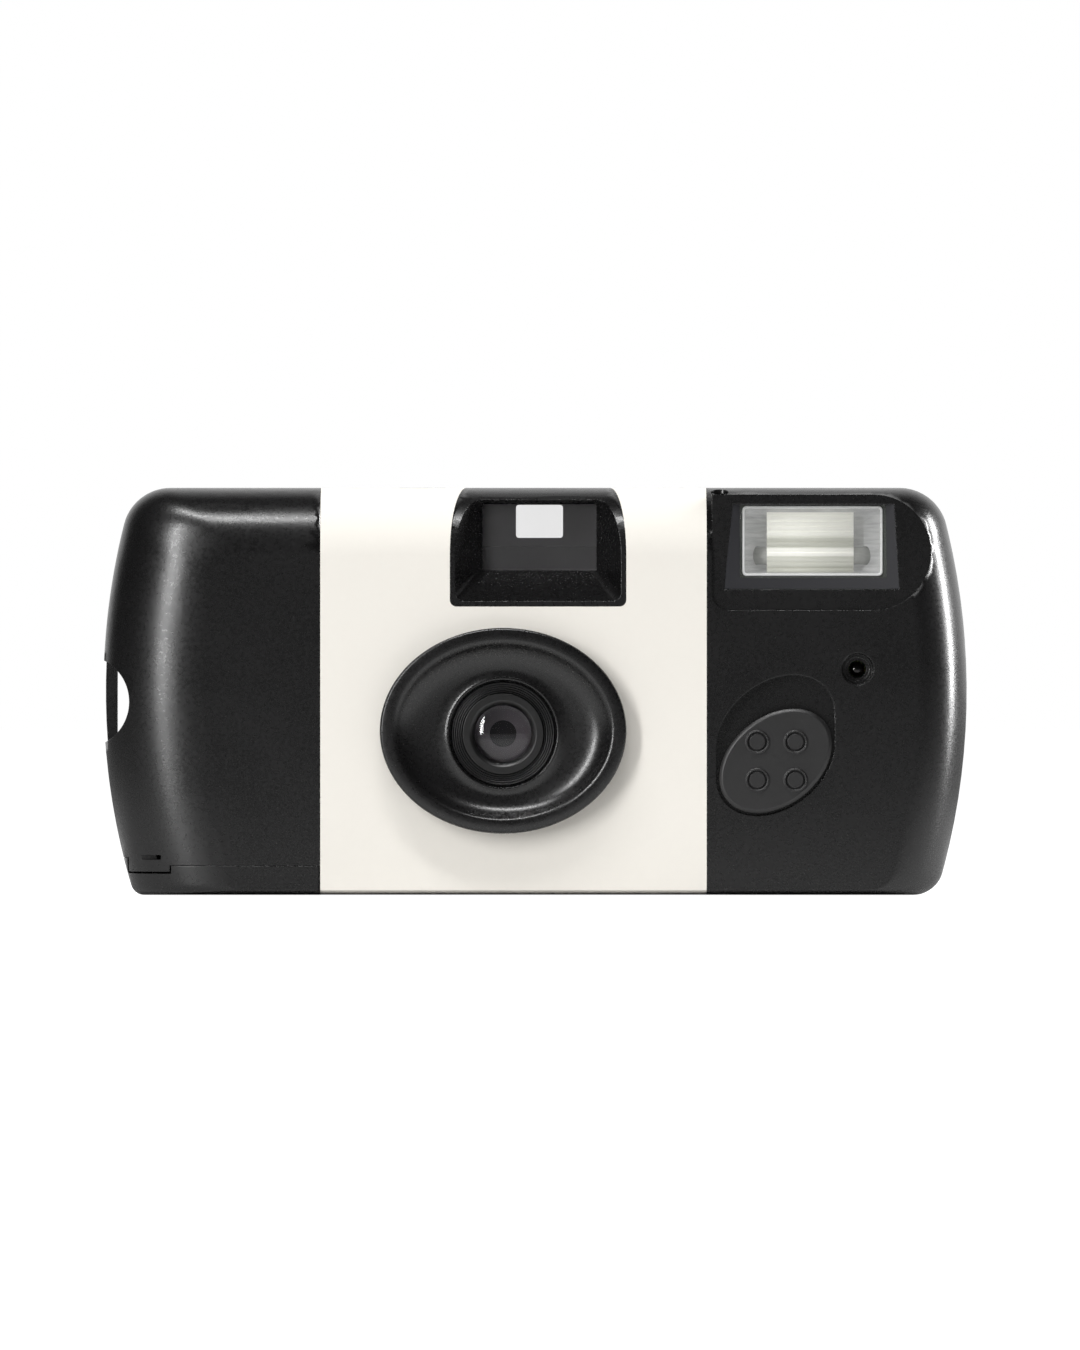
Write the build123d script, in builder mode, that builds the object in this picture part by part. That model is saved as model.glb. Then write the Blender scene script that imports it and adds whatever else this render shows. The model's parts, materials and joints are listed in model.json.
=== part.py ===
"""A single-use 35 mm film camera with a built-in flash, modelled as separate named pieces.

All lengths are in millimetres. The front of the camera faces -Y, +X is to the right as seen
from the front, and +Z is up. The camera stands on Z = 0.
"""

import os
from math import atan2, cos, degrees, hypot, radians, sin, sqrt

from build123d import *

# Overall size and the two halves of the housing
HALF_WIDTH = 58.35
HEIGHT = 55.0
MID_HEIGHT = HEIGHT / 2
SIDE_BOW_RADIUS = 93.0
FACE_Y = -14.0
SEAM_Y = 5.0
BACK_Y = 16.2
WALL = 1.4
SEAM_GAP = 0.1
FRONT_ROLL_DEPTH = 9.5
FRONT_ROLLS = {"left": 13.7, "right": 7.0, "bottom": 0.8, "top": 9.1}
REAR_ROLL_DEPTH = 5.0
REAR_ROLLS = {"left": 6.0, "right": 5.0, "bottom": 1.6, "top": 5.0}
CORNER_RADII = {"top_left": 6.5, "top_right": 6.5, "bottom_right": 4.0, "bottom_left": 1.8}
ROLL_STEPS = 4

# Clearances used between neighbouring pieces
RUNNING_FIT = 0.05
SEAT_GAP = 0.05
SIDE_GAP = 0.15
FREE_GAP = 0.3

# Label band
LABEL_LEFT_X = -28.9
LABEL_RIGHT_X = 23.1
LABEL_THICKNESS = 0.25
LABEL_RECESS = 0.3
LABEL_GAP = 0.03

# Taking lens and its dished surround
LENS_X = -4.3
LENS_Z = 21.8
DISH_Z = 22.2
DISH_RIM_Y = -17.0
DISH_FOOT = (16.6, 13.85)
DISH_STEP = (15.5, 12.6)
DISH_CREST = (15.0, 12.1)
DISH_MOUTH = (14.0, 11.1)
DISH_FLOOR_Y = -13.7
LENS_HOLE_RADIUS = 7.0
LENS_RING_RADIUS = 7.5
LENS_RING_Y = -14.5

# Viewfinder
FINDER_FRONT = {"left": -10.8, "right": 11.6, "bottom": 39.6, "top": 54.1}
FINDER_WINDOW = {"left": -7.1, "right": 8.3, "bottom": 43.8, "top": 52.9}
FINDER_WINDOW_Y = -8.0
FINDER_RIM = 0.9
FINDER_WALL = 1.1
EYEPIECE = {"left": -2.7, "right": 3.9, "bottom": 48.3, "top": 53.0}

# Flash pad and window
PAD_Y = -13.5
PAD_LEFT_X = 23.8
PAD_RIGHT_X = 53.3
PAD_BOTTOM_Z = 38.4
PAD_TOP_Z = 54.0
PAD_CORNER_RADIUS = 2.4
FLASH_OPENING = ((25.4, 41.2), (49.0, 41.2), (48.35, 52.7), (26.6, 52.7))
FLASH_WINDOW = {"left": 26.8, "right": 47.7, "bottom": 42.0, "top": 52.6}
FLASH_WINDOW_Y = -12.9
WINDOW_RIB_PITCH = 0.85
TUBE_Y = -8.2
TUBE_Z = 45.8
TUBE_RADIUS = 1.2

# Flash switch
SWITCH_X = 32.36
SWITCH_Z = 18.16
SWITCH_RADII = (8.43, 5.97)
SWITCH_TILT = 38.3
SWITCH_TRAVEL = 4.2
SWITCH_RECESS_DEPTH = 1.7
SWITCH_PROUD = 0.9
SWITCH_RECESS_MARGIN = 0.4
BUMP_PITCH = 5.13

# Ready-lamp sight hole
SIGHT_X = 43.4
SIGHT_Z = 30.5

# Wrist-strap notch in the left edge
STRAP_X = -60.85
STRAP_Z = 26.1
STRAP_RADIUS = 6.15

# Ready-light pipe beside the flash
PIPE_X = 24.9
PIPE_Y = -8.0
PIPE_RADIUS = 1.0

# Film door under the cassette
DOOR_LEFT_Z = 5.1
DOOR_RIGHT_X = -29.1
DOOR_STRIP_LEFT_X = -49.0
DOOR_TAB_LEFT_X = -54.8
DOOR_TOP_Z = 4.0
DOOR_TAB_Z = 3.2
DOOR_HINGE_Y = 13.0
DOOR_HINGE_Z = 1.7
DOOR_PLATE = 1.3
DOOR_PIN_RADIUS = 0.7
DOOR_BACK_Y = 11.0
DOOR_SWING_GAP = 1.25
DOOR_EARS = ((-51.9, -50.9), (-30.1, -29.2))

# Film cassette, film path and winding
CASSETTE_X = -39.3
CASSETTE_Y = 2.3
CASSETTE_RADIUS = 12.4
CASSETTE_BOTTOM_Z = 1.7
CASSETTE_TOP_Z = 43.5
LIP_END_X = -29.4
SHELL_THICKNESS = 0.4
FILM_Y = 12.14
FILM_THICKNESS = 0.14
FILM_Z = 22.3
FILM_WIDTH = 35.0
PERFORATION_PITCH = 4.75
PERFORATION_ROW = 14.1
FRAME_WIDTH = 36.0
FRAME_HEIGHT = 24.0
WHEEL_RADIUS = 14.7
WHEEL_BOTTOM_Z = 45.2
WHEEL_TOP_Z = 48.8
WHEEL_TEETH = 48
SPOOL_JOURNAL = 3.6
SPOOL_TOP_Z = 47.0
SPROCKET_X = -17.3
SPROCKET_Y = 5.6
ROLL_X = 25.0
ROLL_Y = 3.9
ROLL_RADIUS = 8.2
ROLL_CORE_RADIUS = 3.0

# Main frame
BOTTOM_TONGUES = (-20.0, 30.0)
FRAME_FLOOR_Z = 1.8
DECK_Z = 40.8
DECK_TOP_Z = 42.0
GATE_FRONT_Y = 10.7
GATE_BACK_Y = 12.0
BOX_FRONT_Y = -8.6
CHAMBER_RADIUS = 12.8
CHAMBER_WALL = 0.8
DIAL_X = -15.2
DIAL_Y = -1.5
DIAL_Z = (50.4, 51.6)
DIAL_RADIUS = 5.2
DIAL_TEETH = 30
PAWL_X = -21.5
PAWL_Y = -7.6
PAWL_Z = (45.4, 47.4)
SPROCKET_SHAFT = 1.2
FINDER_LENS = {"left": -8.7, "right": 9.9, "bottom": 43.0, "top": 52.8}
EYEPIECE_LENS_Y = (12.4, 14.1)
EYEPIECE_LENS = {"left": -4.0, "right": 5.2, "bottom": 47.2, "top": 53.2}

# Shutter, in front of the light box
PLATE_Y = -9.6
BLADE_PIVOT = (5.2, 27.0)
BLADE_PIN_RADIUS = 0.7
STRIKER_PIVOT = (-14.5, 35.0)
STRIKER_PIN_RADIUS = 0.8
LENS_SCREW_POSTS = ((LENS_X - 9.5, LENS_Z), (LENS_X + 9.5, LENS_Z - 4))

# Shutter button
BUTTON_X = -39.5
BUTTON_Y = -0.1
BUTTON_LENGTH = 13.0
BUTTON_WIDTH = 7.0
BUTTON_TRAVEL = 1.2
STEM_X = (-23.2, -21.4)
STEM_Y = (-5.3, -3.7)

# Release lever
LEVER_TOP_Z = 45.0
LEVER_PIVOT = (-11.8, 44.6)
LEVER_Y = (-4.8, -3.6)
LEVER_PIN = 0.6

# Flash electronics
BOARD_Y = -8.6
BOARD_LEFT_X = 36.0
BATTERY_X = 48.4
BATTERY_Y = 9.2
BATTERY_RADIUS = 5.2
BATTERY_BOTTOM_Z = 3.6
BATTERY_TOP_Z = 47.3
CAPACITOR_X = 41.4
CAPACITOR_Y = -0.2
CAPACITOR_RADIUS = 6.0

os.makedirs("parts", exist_ok=True)


def save(builder, name):
    """Name a finished piece and write it as a STEP file."""
    builder.part.label = name
    export_step(builder.part, f"parts/{name}.step")


def block(x, y, z, mode=Mode.ADD):
    """A box given by its limits along each axis, as (low, high) pairs."""
    centre = ((x[0] + x[1]) / 2, (y[0] + y[1]) / 2, (z[0] + z[1]) / 2)
    with Locations(centre):
        Box(x[1] - x[0], y[1] - y[0], z[1] - z[0], mode=mode)


def post(x, y, z, radius, mode=Mode.ADD):
    """An upright cylinder between two heights."""
    with Locations((x, y, (z[0] + z[1]) / 2)):
        Cylinder(radius, z[1] - z[0], mode=mode)


def barrel(x, z, y, radius, mode=Mode.ADD):
    """A cylinder along the lens direction between two depths."""
    with Locations((x, (y[0] + y[1]) / 2, z)):
        Cylinder(radius, y[1] - y[0], rotation=(90, 0, 0), mode=mode)


def rod(y, z, x, radius, mode=Mode.ADD):
    """A cylinder along the camera's width between two X values."""
    with Locations(((x[0] + x[1]) / 2, y, z)):
        Cylinder(radius, x[1] - x[0], rotation=(0, 90, 0), mode=mode)


def facing(y):
    """The upright sketch plane at depth y; its drawing axes are the camera's X and Z."""
    return Plane.XZ.offset(-y)


def bowed_corner(side, edge, radius, side_x, flat_z):
    """The three points of the corner arc between a bowed side and the flat top or bottom."""
    bow = Vector(side_x - side * SIDE_BOW_RADIUS, MID_HEIGHT)
    centre_z = flat_z - edge * radius
    reach = sqrt((SIDE_BOW_RADIUS - radius) ** 2 - (centre_z - MID_HEIGHT) ** 2)
    centre = Vector(bow.X + side * reach, centre_z)
    on_bow = bow + (centre - bow).normalized() * SIDE_BOW_RADIUS
    on_flat = Vector(centre.X, flat_z)
    middle = centre + ((on_bow - centre) + (on_flat - centre)).normalized() * radius
    return on_bow, middle, on_flat


def bowed_outline(y, left, right, bottom, top, radii):
    """The housing's outline across the lens direction: bowed sides, flat top and bottom."""
    top_left = bowed_corner(-1, 1, radii["top_left"], left, top)
    top_right = bowed_corner(1, 1, radii["top_right"], right, top)
    bottom_right = bowed_corner(1, -1, radii["bottom_right"], right, bottom)
    bottom_left = bowed_corner(-1, -1, radii["bottom_left"], left, bottom)
    with BuildSketch(facing(y)) as outline:
        with BuildLine():
            ThreePointArc(*top_left)
            Line(top_left[2], top_right[2])
            ThreePointArc(*reversed(top_right))
            ThreePointArc(top_right[0], (right, MID_HEIGHT), bottom_right[0])
            ThreePointArc(*bottom_right)
            Line(bottom_right[2], bottom_left[2])
            ThreePointArc(*reversed(bottom_left))
            ThreePointArc(bottom_left[0], (left, MID_HEIGHT), top_left[0])
        make_face()
    return outline.sketch


def housing_half(face_y, seam_y, roll_depth, rolls, inset):
    """One half of the housing form, shrunk all round by inset, with softly rolled edges."""
    inward = 1 if seam_y > face_y else -1
    sections = []
    for step in range(ROLL_STEPS + 1):
        turn = radians(90 * step / ROLL_STEPS)
        y = face_y + inward * (inset + (roll_depth - inset) * (1 - cos(turn)))
        share = 1 - sin(turn)
        edge = {side: inset + max(roll - inset, 0) * share for side, roll in rolls.items()}
        radii = {
            corner: max(radius - inset - 0.25 * radius * share, 0.8)
            for corner, radius in CORNER_RADII.items()
        }
        sections.append(
            bowed_outline(
                y,
                edge["left"] - HALF_WIDTH,
                HALF_WIDTH - edge["right"],
                edge["bottom"],
                HEIGHT - edge["top"],
                radii,
            )
        )
    with BuildPart() as form:
        loft(sections)
        extrude(sections[-1], amount=abs(seam_y - face_y) - roll_depth, dir=(0, inward, 0))
    return form.part


def front_form(inset):
    """The front half's form."""
    return housing_half(FACE_Y, SEAM_Y, FRONT_ROLL_DEPTH, FRONT_ROLLS, inset)


def rear_form(inset):
    """The rear half's form."""
    return housing_half(BACK_Y, SEAM_Y, REAR_ROLL_DEPTH, REAR_ROLLS, inset)


def ellipse_tower(x, z, lower, upper, y, mode=Mode.ADD):
    """A tapering body between two ellipses given by their half-axes, at two depths."""
    sections = []
    for half_axes, depth in zip((lower, upper), y):
        with BuildSketch(facing(depth)) as section:
            with Locations((x, z)):
                Ellipse(*half_axes)
        sections.append(section.sketch)
    loft(sections, mode=mode)


def rectangle_tower(first, second, y, corner, mode=Mode.ADD):
    """A tapering body between two rounded rectangles given by their limits, at two depths."""
    sections = []
    for limits, depth in zip((first, second), y):
        width = limits["right"] - limits["left"]
        height = limits["top"] - limits["bottom"]
        middle = ((limits["left"] + limits["right"]) / 2, (limits["bottom"] + limits["top"]) / 2)
        with BuildSketch(facing(depth)) as section:
            with Locations(middle):
                RectangleRounded(width, height, corner)
        sections.append(section.sketch)
    loft(sections, mode=mode)


def grown(limits, margin):
    """Rectangle limits widened by a margin on every side."""
    return {
        "left": limits["left"] - margin,
        "right": limits["right"] + margin,
        "bottom": limits["bottom"] - margin,
        "top": limits["top"] + margin,
    }


outer_front = front_form(0)
outer_rear = rear_form(0)
inner_front = front_form(WALL)
inner_rear = rear_form(WALL)

# Outline of the flash switch and of the recess it slides in
tilt = radians(SWITCH_TILT)


def switch_ellipse(margin):
    """Half-axes of the switch outline grown by a margin."""
    return SWITCH_RADII[0] + margin, SWITCH_RADII[1] + margin


def switch_recess(y, margin):
    """The area swept by the switch over its travel, as a sketch at depth y."""
    major, minor = switch_ellipse(margin)
    side = hypot(major * cos(tilt), minor * sin(tilt))
    lift = (major**2 - minor**2) * sin(tilt) * cos(tilt) / side
    with BuildSketch(facing(y)) as area:
        with Locations((SWITCH_X, SWITCH_Z), (SWITCH_X, SWITCH_Z + SWITCH_TRAVEL)):
            Ellipse(major, minor, rotation=SWITCH_TILT)
        with BuildLine():
            Polyline(
                (SWITCH_X - side, SWITCH_Z - lift),
                (SWITCH_X + side, SWITCH_Z + lift),
                (SWITCH_X + side, SWITCH_Z + lift + SWITCH_TRAVEL),
                (SWITCH_X - side, SWITCH_Z - lift + SWITCH_TRAVEL),
                close=True,
            )
        make_face()
    return area.sketch


def pad_outline(y, margin=0.0):
    """The flash pad's outline, square at the left and half round at the right."""
    radius = (PAD_TOP_Z - PAD_BOTTOM_Z) / 2
    corner_x = PAD_RIGHT_X - radius
    with BuildSketch(facing(y)) as area:
        with BuildLine():
            Polyline(
                (corner_x, PAD_BOTTOM_Z - margin),
                (PAD_LEFT_X - margin, PAD_BOTTOM_Z - margin),
                (PAD_LEFT_X - margin, PAD_TOP_Z + margin),
                (corner_x, PAD_TOP_Z + margin),
            )
            ThreePointArc(
                (corner_x, PAD_TOP_Z + margin),
                (PAD_RIGHT_X + margin, (PAD_TOP_Z + PAD_BOTTOM_Z) / 2),
                (corner_x, PAD_BOTTOM_Z - margin),
            )
        make_face()
        fillet(area.vertices().group_by(Axis.X)[0].sort_by(Axis.Y)[0], PAD_CORNER_RADIUS + margin)
    return area.sketch

# Label band: a bare paper wrap lying in a shallow recess round the middle of the camera
band = (LABEL_LEFT_X, LABEL_RIGHT_X)


def label_openings(mode, overlap):
    """The places where the label leaves the camera bare, less an overlap all round."""
    rim = grown(FINDER_FRONT, FINDER_RIM)
    narrow = {"left": -9.2, "right": 10.1, "bottom": 41.0, "top": 57.0}
    rectangle_tower({**rim, "top": 57.0}, narrow, (FACE_Y - 1, -4.5), 0.9, mode)
    ellipse_tower(LENS_X, DISH_Z, DISH_FOOT, DISH_FOOT, (FACE_Y - 1, FACE_Y + 1), mode)
    block((-18.3, -12.1), (-4.1, 1.1), (50, 58), mode)
    block((-7.6, 8.8), (10, 20), (45.4, 54.4), mode)



with BuildPart() as label_recess:
    block((band[0] - LABEL_GAP, band[1] + LABEL_GAP), (FACE_Y - 1, BACK_Y + 1), (-1, HEIGHT + 1))
    with BuildPart(mode=Mode.PRIVATE) as recess_skin:
        block((-40, 40), (FACE_Y - 2, BACK_Y + 2), (-2, HEIGHT + 2))
        add(front_form(LABEL_RECESS), mode=Mode.SUBTRACT)
        add(rear_form(LABEL_RECESS), mode=Mode.SUBTRACT)
    add(recess_skin.part, mode=Mode.INTERSECT)
    label_openings(Mode.SUBTRACT, 0)

with BuildPart() as label_band:
    block(band, (FACE_Y - 1, BACK_Y + 1), (-1, HEIGHT + 1))
    with BuildPart(mode=Mode.PRIVATE) as paper:
        add(front_form(LABEL_RECESS - LABEL_THICKNESS - LABEL_GAP))
        add(rear_form(LABEL_RECESS - LABEL_THICKNESS - LABEL_GAP))
        add(front_form(LABEL_RECESS - LABEL_GAP), mode=Mode.SUBTRACT)
        add(rear_form(LABEL_RECESS - LABEL_GAP), mode=Mode.SUBTRACT)
    add(paper.part, mode=Mode.INTERSECT)
    label_openings(Mode.SUBTRACT, 0)
save(label_band, "label_band")


# Front cover: a shell with the finder funnel, lens dish, flash pad and switch recess moulded in

with BuildPart() as front_cover:
    add(outer_front)
    add(inner_front, mode=Mode.SUBTRACT)

    # boss behind the strap notch
    with BuildPart(mode=Mode.PRIVATE) as notch_boss:
        barrel(STRAP_X, STRAP_Z, (FACE_Y, SEAM_Y), STRAP_RADIUS + 1.3)
        add(outer_front, mode=Mode.INTERSECT)
    add(notch_boss.part)
    barrel(STRAP_X, STRAP_Z, (FACE_Y - 1, SEAM_Y + 1), STRAP_RADIUS, mode=Mode.SUBTRACT)

    # viewfinder funnel
    with BuildPart(mode=Mode.PRIVATE) as funnel_wall:
        rectangle_tower(
            grown(FINDER_FRONT, FINDER_WALL),
            grown(FINDER_WINDOW, FINDER_WALL),
            (FACE_Y, FINDER_WINDOW_Y),
            1.5,
        )
        add(outer_front, mode=Mode.INTERSECT)
    add(funnel_wall.part)
    rectangle_tower(FINDER_FRONT, FINDER_WINDOW, (FACE_Y - 0.01, FINDER_WINDOW_Y), 1.2, Mode.SUBTRACT)
    block(
        (FINDER_WINDOW["left"], FINDER_WINDOW["right"]),
        (FINDER_WINDOW_Y - 0.5, FINDER_WINDOW_Y + 1),
        (FINDER_WINDOW["bottom"], FINDER_WINDOW["top"]),
        mode=Mode.SUBTRACT,
    )

    # lens dish with its raised oval rim and the bright ring round the lens hole
    ellipse_tower(LENS_X, DISH_Z, DISH_FOOT, DISH_FOOT, (FACE_Y + 0.2, FACE_Y - 0.5))
    ellipse_tower(LENS_X, DISH_Z, DISH_STEP, DISH_CREST, (FACE_Y - 0.5, DISH_RIM_Y))
    crest = front_cover.faces().filter_by(Axis.Y).sort_by(Axis.Y)[0]
    chamfer(crest.edges(), 0.35)
    with BuildSketch(facing(DISH_RIM_Y)):
        with Locations((LENS_X, DISH_Z)):
            Ellipse(*DISH_MOUTH)
    with BuildSketch(facing(DISH_FLOOR_Y)):
        with Locations((LENS_X, LENS_Z)):
            Circle(LENS_RING_RADIUS)
    loft(mode=Mode.SUBTRACT)
    barrel(LENS_X, LENS_Z, (LENS_RING_Y, FACE_Y + WALL), LENS_RING_RADIUS)
    barrel(LENS_X, LENS_Z, (DISH_RIM_Y, FACE_Y + WALL + 1), LENS_HOLE_RADIUS, mode=Mode.SUBTRACT)

    # flash pad, slightly sunk in the face and standing proud of the rolled top edge
    extrude(pad_outline(PAD_Y), amount=5.5, dir=(0, 1, 0))
    extrude(pad_outline(FACE_Y - 0.1), amount=PAD_Y - FACE_Y + 0.1, dir=(0, 1, 0), mode=Mode.SUBTRACT)
    with BuildSketch(facing(PAD_Y - 0.1)):
        Polygon(*FLASH_OPENING, align=None)
    extrude(amount=-2, mode=Mode.SUBTRACT)
    block((26.2, 48.3), (-12.8, 1.0), (40.6, 53.2), mode=Mode.SUBTRACT)

    # flash switch recess with a boss behind it and a slot for the switch stem
    extrude(switch_recess(FACE_Y + 0.2, SWITCH_RECESS_MARGIN + 1.0), amount=2.6, dir=(0, 1, 0))
    extrude(
        switch_recess(FACE_Y - 0.1, SWITCH_RECESS_MARGIN),
        amount=SWITCH_RECESS_DEPTH + 0.1,
        dir=(0, 1, 0),
        mode=Mode.SUBTRACT,
    )
    block((31.3, 33.4), (-12.6, -10.5), (16.9, 23.6), mode=Mode.SUBTRACT)

    # stepped sight hole over the ready lamp
    barrel(SIGHT_X, SIGHT_Z, (FACE_Y + 0.2, -11.4), 3.0)
    barrel(SIGHT_X, SIGHT_Z, (FACE_Y - 0.1, FACE_Y + 1.3), 2.0, mode=Mode.SUBTRACT)
    barrel(SIGHT_X, SIGHT_Z, (FACE_Y, -11.9), 1.6, mode=Mode.SUBTRACT)
    barrel(SIGHT_X, SIGHT_Z, (FACE_Y, -11.0), 1.2, mode=Mode.SUBTRACT)
    sight_edge = front_cover.edges().filter_by(GeomType.CIRCLE).filter_by(
        lambda edge: abs(edge.radius - 2.0) < 0.01 and abs(edge.center().Y - FACE_Y) < 0.01
    )
    chamfer(sight_edge, 0.2)

    # openings in the top for the shutter button, the frame counter and the ready-light pipe
    with BuildSketch(Plane.XY.offset(48)):
        with Locations((BUTTON_X, BUTTON_Y)):
            SlotOverall(BUTTON_LENGTH + 2 * SIDE_GAP, BUTTON_WIDTH + 2 * SIDE_GAP)
    extrude(amount=10, mode=Mode.SUBTRACT)
    block((-18.0, -12.4), (-3.8, 0.8), (50, 56), mode=Mode.SUBTRACT)
    post(PIPE_X, PIPE_Y, (36, 56), PIPE_RADIUS + 0.2, mode=Mode.SUBTRACT)

    # relief for the thumbwheel and the corner left open for the film door
    post(CASSETTE_X, CASSETTE_Y, (WHEEL_BOTTOM_Z - 0.5, WHEEL_TOP_Z + 0.5), WHEEL_RADIUS + 0.4, Mode.SUBTRACT)
    block((-60, DOOR_TAB_LEFT_X), (-15, 6), (-1, DOOR_LEFT_Z), mode=Mode.SUBTRACT)
    block((DOOR_TAB_LEFT_X, DOOR_STRIP_LEFT_X - 0.1), (-15, 6), (-1, DOOR_TAB_Z), mode=Mode.SUBTRACT)
    block(
        (DOOR_STRIP_LEFT_X - 0.2, DOOR_RIGHT_X + 0.1), (-15, 6), (-1, DOOR_TOP_Z + 0.06), mode=Mode.SUBTRACT
    )
    block((-53.1, -50.4), (-15, FACE_Y + 4), (4.85, 5.45), mode=Mode.SUBTRACT)

    # the two halves meet with a fine open line
    block((-60, 60), (SEAM_Y - SEAM_GAP / 2, SEAM_Y + 1), (-1, 56), mode=Mode.SUBTRACT)
    add(label_recess.part, mode=Mode.SUBTRACT)
save(front_cover, "front_cover")

# Rear cover: back wall with the eyepiece, the thumbwheel slot in its scoop and the strap bar
with BuildPart() as rear_cover:
    add(outer_rear)
    add(inner_rear, mode=Mode.SUBTRACT)
    block((-60, 60), (SEAM_Y - 1, SEAM_Y + SEAM_GAP / 2), (-1, HEIGHT + 1), mode=Mode.SUBTRACT)
    with BuildPart(mode=Mode.PRIVATE) as notch_wall:
        barrel(STRAP_X, STRAP_Z, (SEAM_Y, BACK_Y), STRAP_RADIUS + 1.3)
        add(outer_rear, mode=Mode.INTERSECT)
    add(notch_wall.part)
    barrel(STRAP_X, STRAP_Z, (SEAM_Y - 1, BACK_Y + 1), STRAP_RADIUS, mode=Mode.SUBTRACT)
    with BuildPart(mode=Mode.PRIVATE) as strap_bar:
        block((-60, -56.8), (7.0, 10.0), (19.0, 33.5))
        add(outer_rear, mode=Mode.INTERSECT)
    add(strap_bar.part)

    # scoop and slot for the thumbwheel
    with BuildPart(mode=Mode.PRIVATE) as scoop:
        rod(BACK_Y + 13.3, 47.0, (-50.0, -28.7), 14.0)
        fillet(scoop.edges().filter_by(GeomType.CIRCLE), 3.0)
    add(scoop.part, mode=Mode.SUBTRACT)
    block((-48.2, -30.4), (10, 18), (WHEEL_BOTTOM_Z - 0.4, WHEEL_TOP_Z + 0.4), mode=Mode.SUBTRACT)

    # eyepiece opening with a raised surround
    with BuildSketch(facing(BACK_Y + 0.3)):
        with Locations(((EYEPIECE["left"] + EYEPIECE["right"]) / 2, 49.9)):
            RectangleRounded(12.6, 8.4, 1.5)
    extrude(amount=2.0)
    block(
        (EYEPIECE_LENS["left"] - 0.1, EYEPIECE_LENS["right"] + 0.1),
        (8, EYEPIECE_LENS_Y[1] + SEAT_GAP),
        (EYEPIECE_LENS["bottom"] - 0.1, EYEPIECE_LENS["top"] + 0.1),
        mode=Mode.SUBTRACT,
    )
    block(
        (EYEPIECE["left"], EYEPIECE["right"]),
        (10, 18),
        (EYEPIECE["bottom"], EYEPIECE["top"]),
        mode=Mode.SUBTRACT,
    )

    # ribs that keep the film flat, and a wall stub that locates the battery
    for rib_z in (FILM_Z - 14.0, FILM_Z - 7.0, FILM_Z, FILM_Z + 7.0, FILM_Z + 14.0):
        block((-21.0, 13.5), (FILM_Y + 0.5, BACK_Y - WALL), (rib_z - 0.4, rib_z + 0.4))

    # bottom edge left open for the film door, with lugs for its two hinge pins
    door_y = (SEAM_Y - 1, DOOR_BACK_Y + DOOR_SWING_GAP)
    block((-60, DOOR_TAB_LEFT_X), door_y, (-1, DOOR_LEFT_Z), mode=Mode.SUBTRACT)
    block((DOOR_TAB_LEFT_X - 0.2, DOOR_RIGHT_X + 0.1), door_y, (-1, 3.4), mode=Mode.SUBTRACT)
    for ear_x in DOOR_EARS:
        pocket_x = (ear_x[0] - 0.25, ear_x[1] + 0.25)
        block(pocket_x, (DOOR_BACK_Y, 14.85), (-1, 3.4), mode=Mode.SUBTRACT)
    for lug_x in ((-53.6, -52.2), (-28.9, -27.7)):
        with BuildPart(mode=Mode.PRIVATE) as lug:
            block(lug_x, (DOOR_HINGE_Y - 1.3, BACK_Y - 0.7), (DOOR_HINGE_Z - 1.3, DOOR_HINGE_Z + 2.7))
            add(outer_rear, mode=Mode.INTERSECT)
        add(lug.part)
        bore_x = (lug_x[0] - 0.2, lug_x[1] + 0.2)
        rod(DOOR_HINGE_Y, DOOR_HINGE_Z, bore_x, DOOR_PIN_RADIUS + RUNNING_FIT, mode=Mode.SUBTRACT)

    # snap tongues that reach into the front cover
    for tongue_x in (-24.0, 16.0, 44.0):
        block((tongue_x, tongue_x + 5.0), (SEAM_Y - 3.0, SEAM_Y + 3.5), (52.4, 53.3))
        block((tongue_x, tongue_x + 5.0), (SEAM_Y + 1.0, SEAM_Y + 3.5), (52.4, 54.0))
        block((tongue_x, tongue_x + 5.0), (SEAM_Y - 3.0, SEAM_Y - 2.0), (52.4, 53.4))
    for tongue_x in BOTTOM_TONGUES:
        block((tongue_x, tongue_x + 5.0), (SEAM_Y - 3.0, SEAM_Y + 3.5), (1.7, 2.6))
        block((tongue_x, tongue_x + 5.0), (SEAM_Y + 1.0, SEAM_Y + 3.5), (1.0, 2.6))

    add(label_recess.part, mode=Mode.SUBTRACT)
save(rear_cover, "rear_cover")

# Film door: the bottom under the cassette with a short front flap, hinged along the rear edge
with BuildPart() as film_door:
    with BuildPart(mode=Mode.PRIVATE) as door_zone:
        block((-60, DOOR_TAB_LEFT_X - 0.1), (-15, DOOR_BACK_Y), (-1, DOOR_LEFT_Z - 0.1))
        block((DOOR_TAB_LEFT_X - 0.2, DOOR_STRIP_LEFT_X), (-13.0, DOOR_BACK_Y), (-1, DOOR_TAB_Z - 0.25))
        block((DOOR_STRIP_LEFT_X, DOOR_RIGHT_X), (-15, DOOR_BACK_Y), (-1, DOOR_TOP_Z))
    add(outer_front)
    add(outer_rear)
    add(door_zone.part, mode=Mode.INTERSECT)
    with BuildPart(mode=Mode.PRIVATE) as door_hollow:
        add(inner_front)
        add(inner_rear)
    add(door_hollow.part, mode=Mode.SUBTRACT)
    for ear_x, pin_x in zip(DOOR_EARS, ((-53.5, -51.9), (-29.2, -27.8))):
        block(ear_x, (DOOR_BACK_Y - 1.0, DOOR_HINGE_Y), (0.4, DOOR_PLATE))
        block(ear_x, (DOOR_BACK_Y, DOOR_HINGE_Y), (0.4, DOOR_HINGE_Z + 1.2))
        rod(DOOR_HINGE_Y, DOOR_HINGE_Z, ear_x, 1.2)
        rod(DOOR_HINGE_Y, DOOR_HINGE_Z, pin_x, DOOR_PIN_RADIUS)
save(film_door, "film_door")


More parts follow.
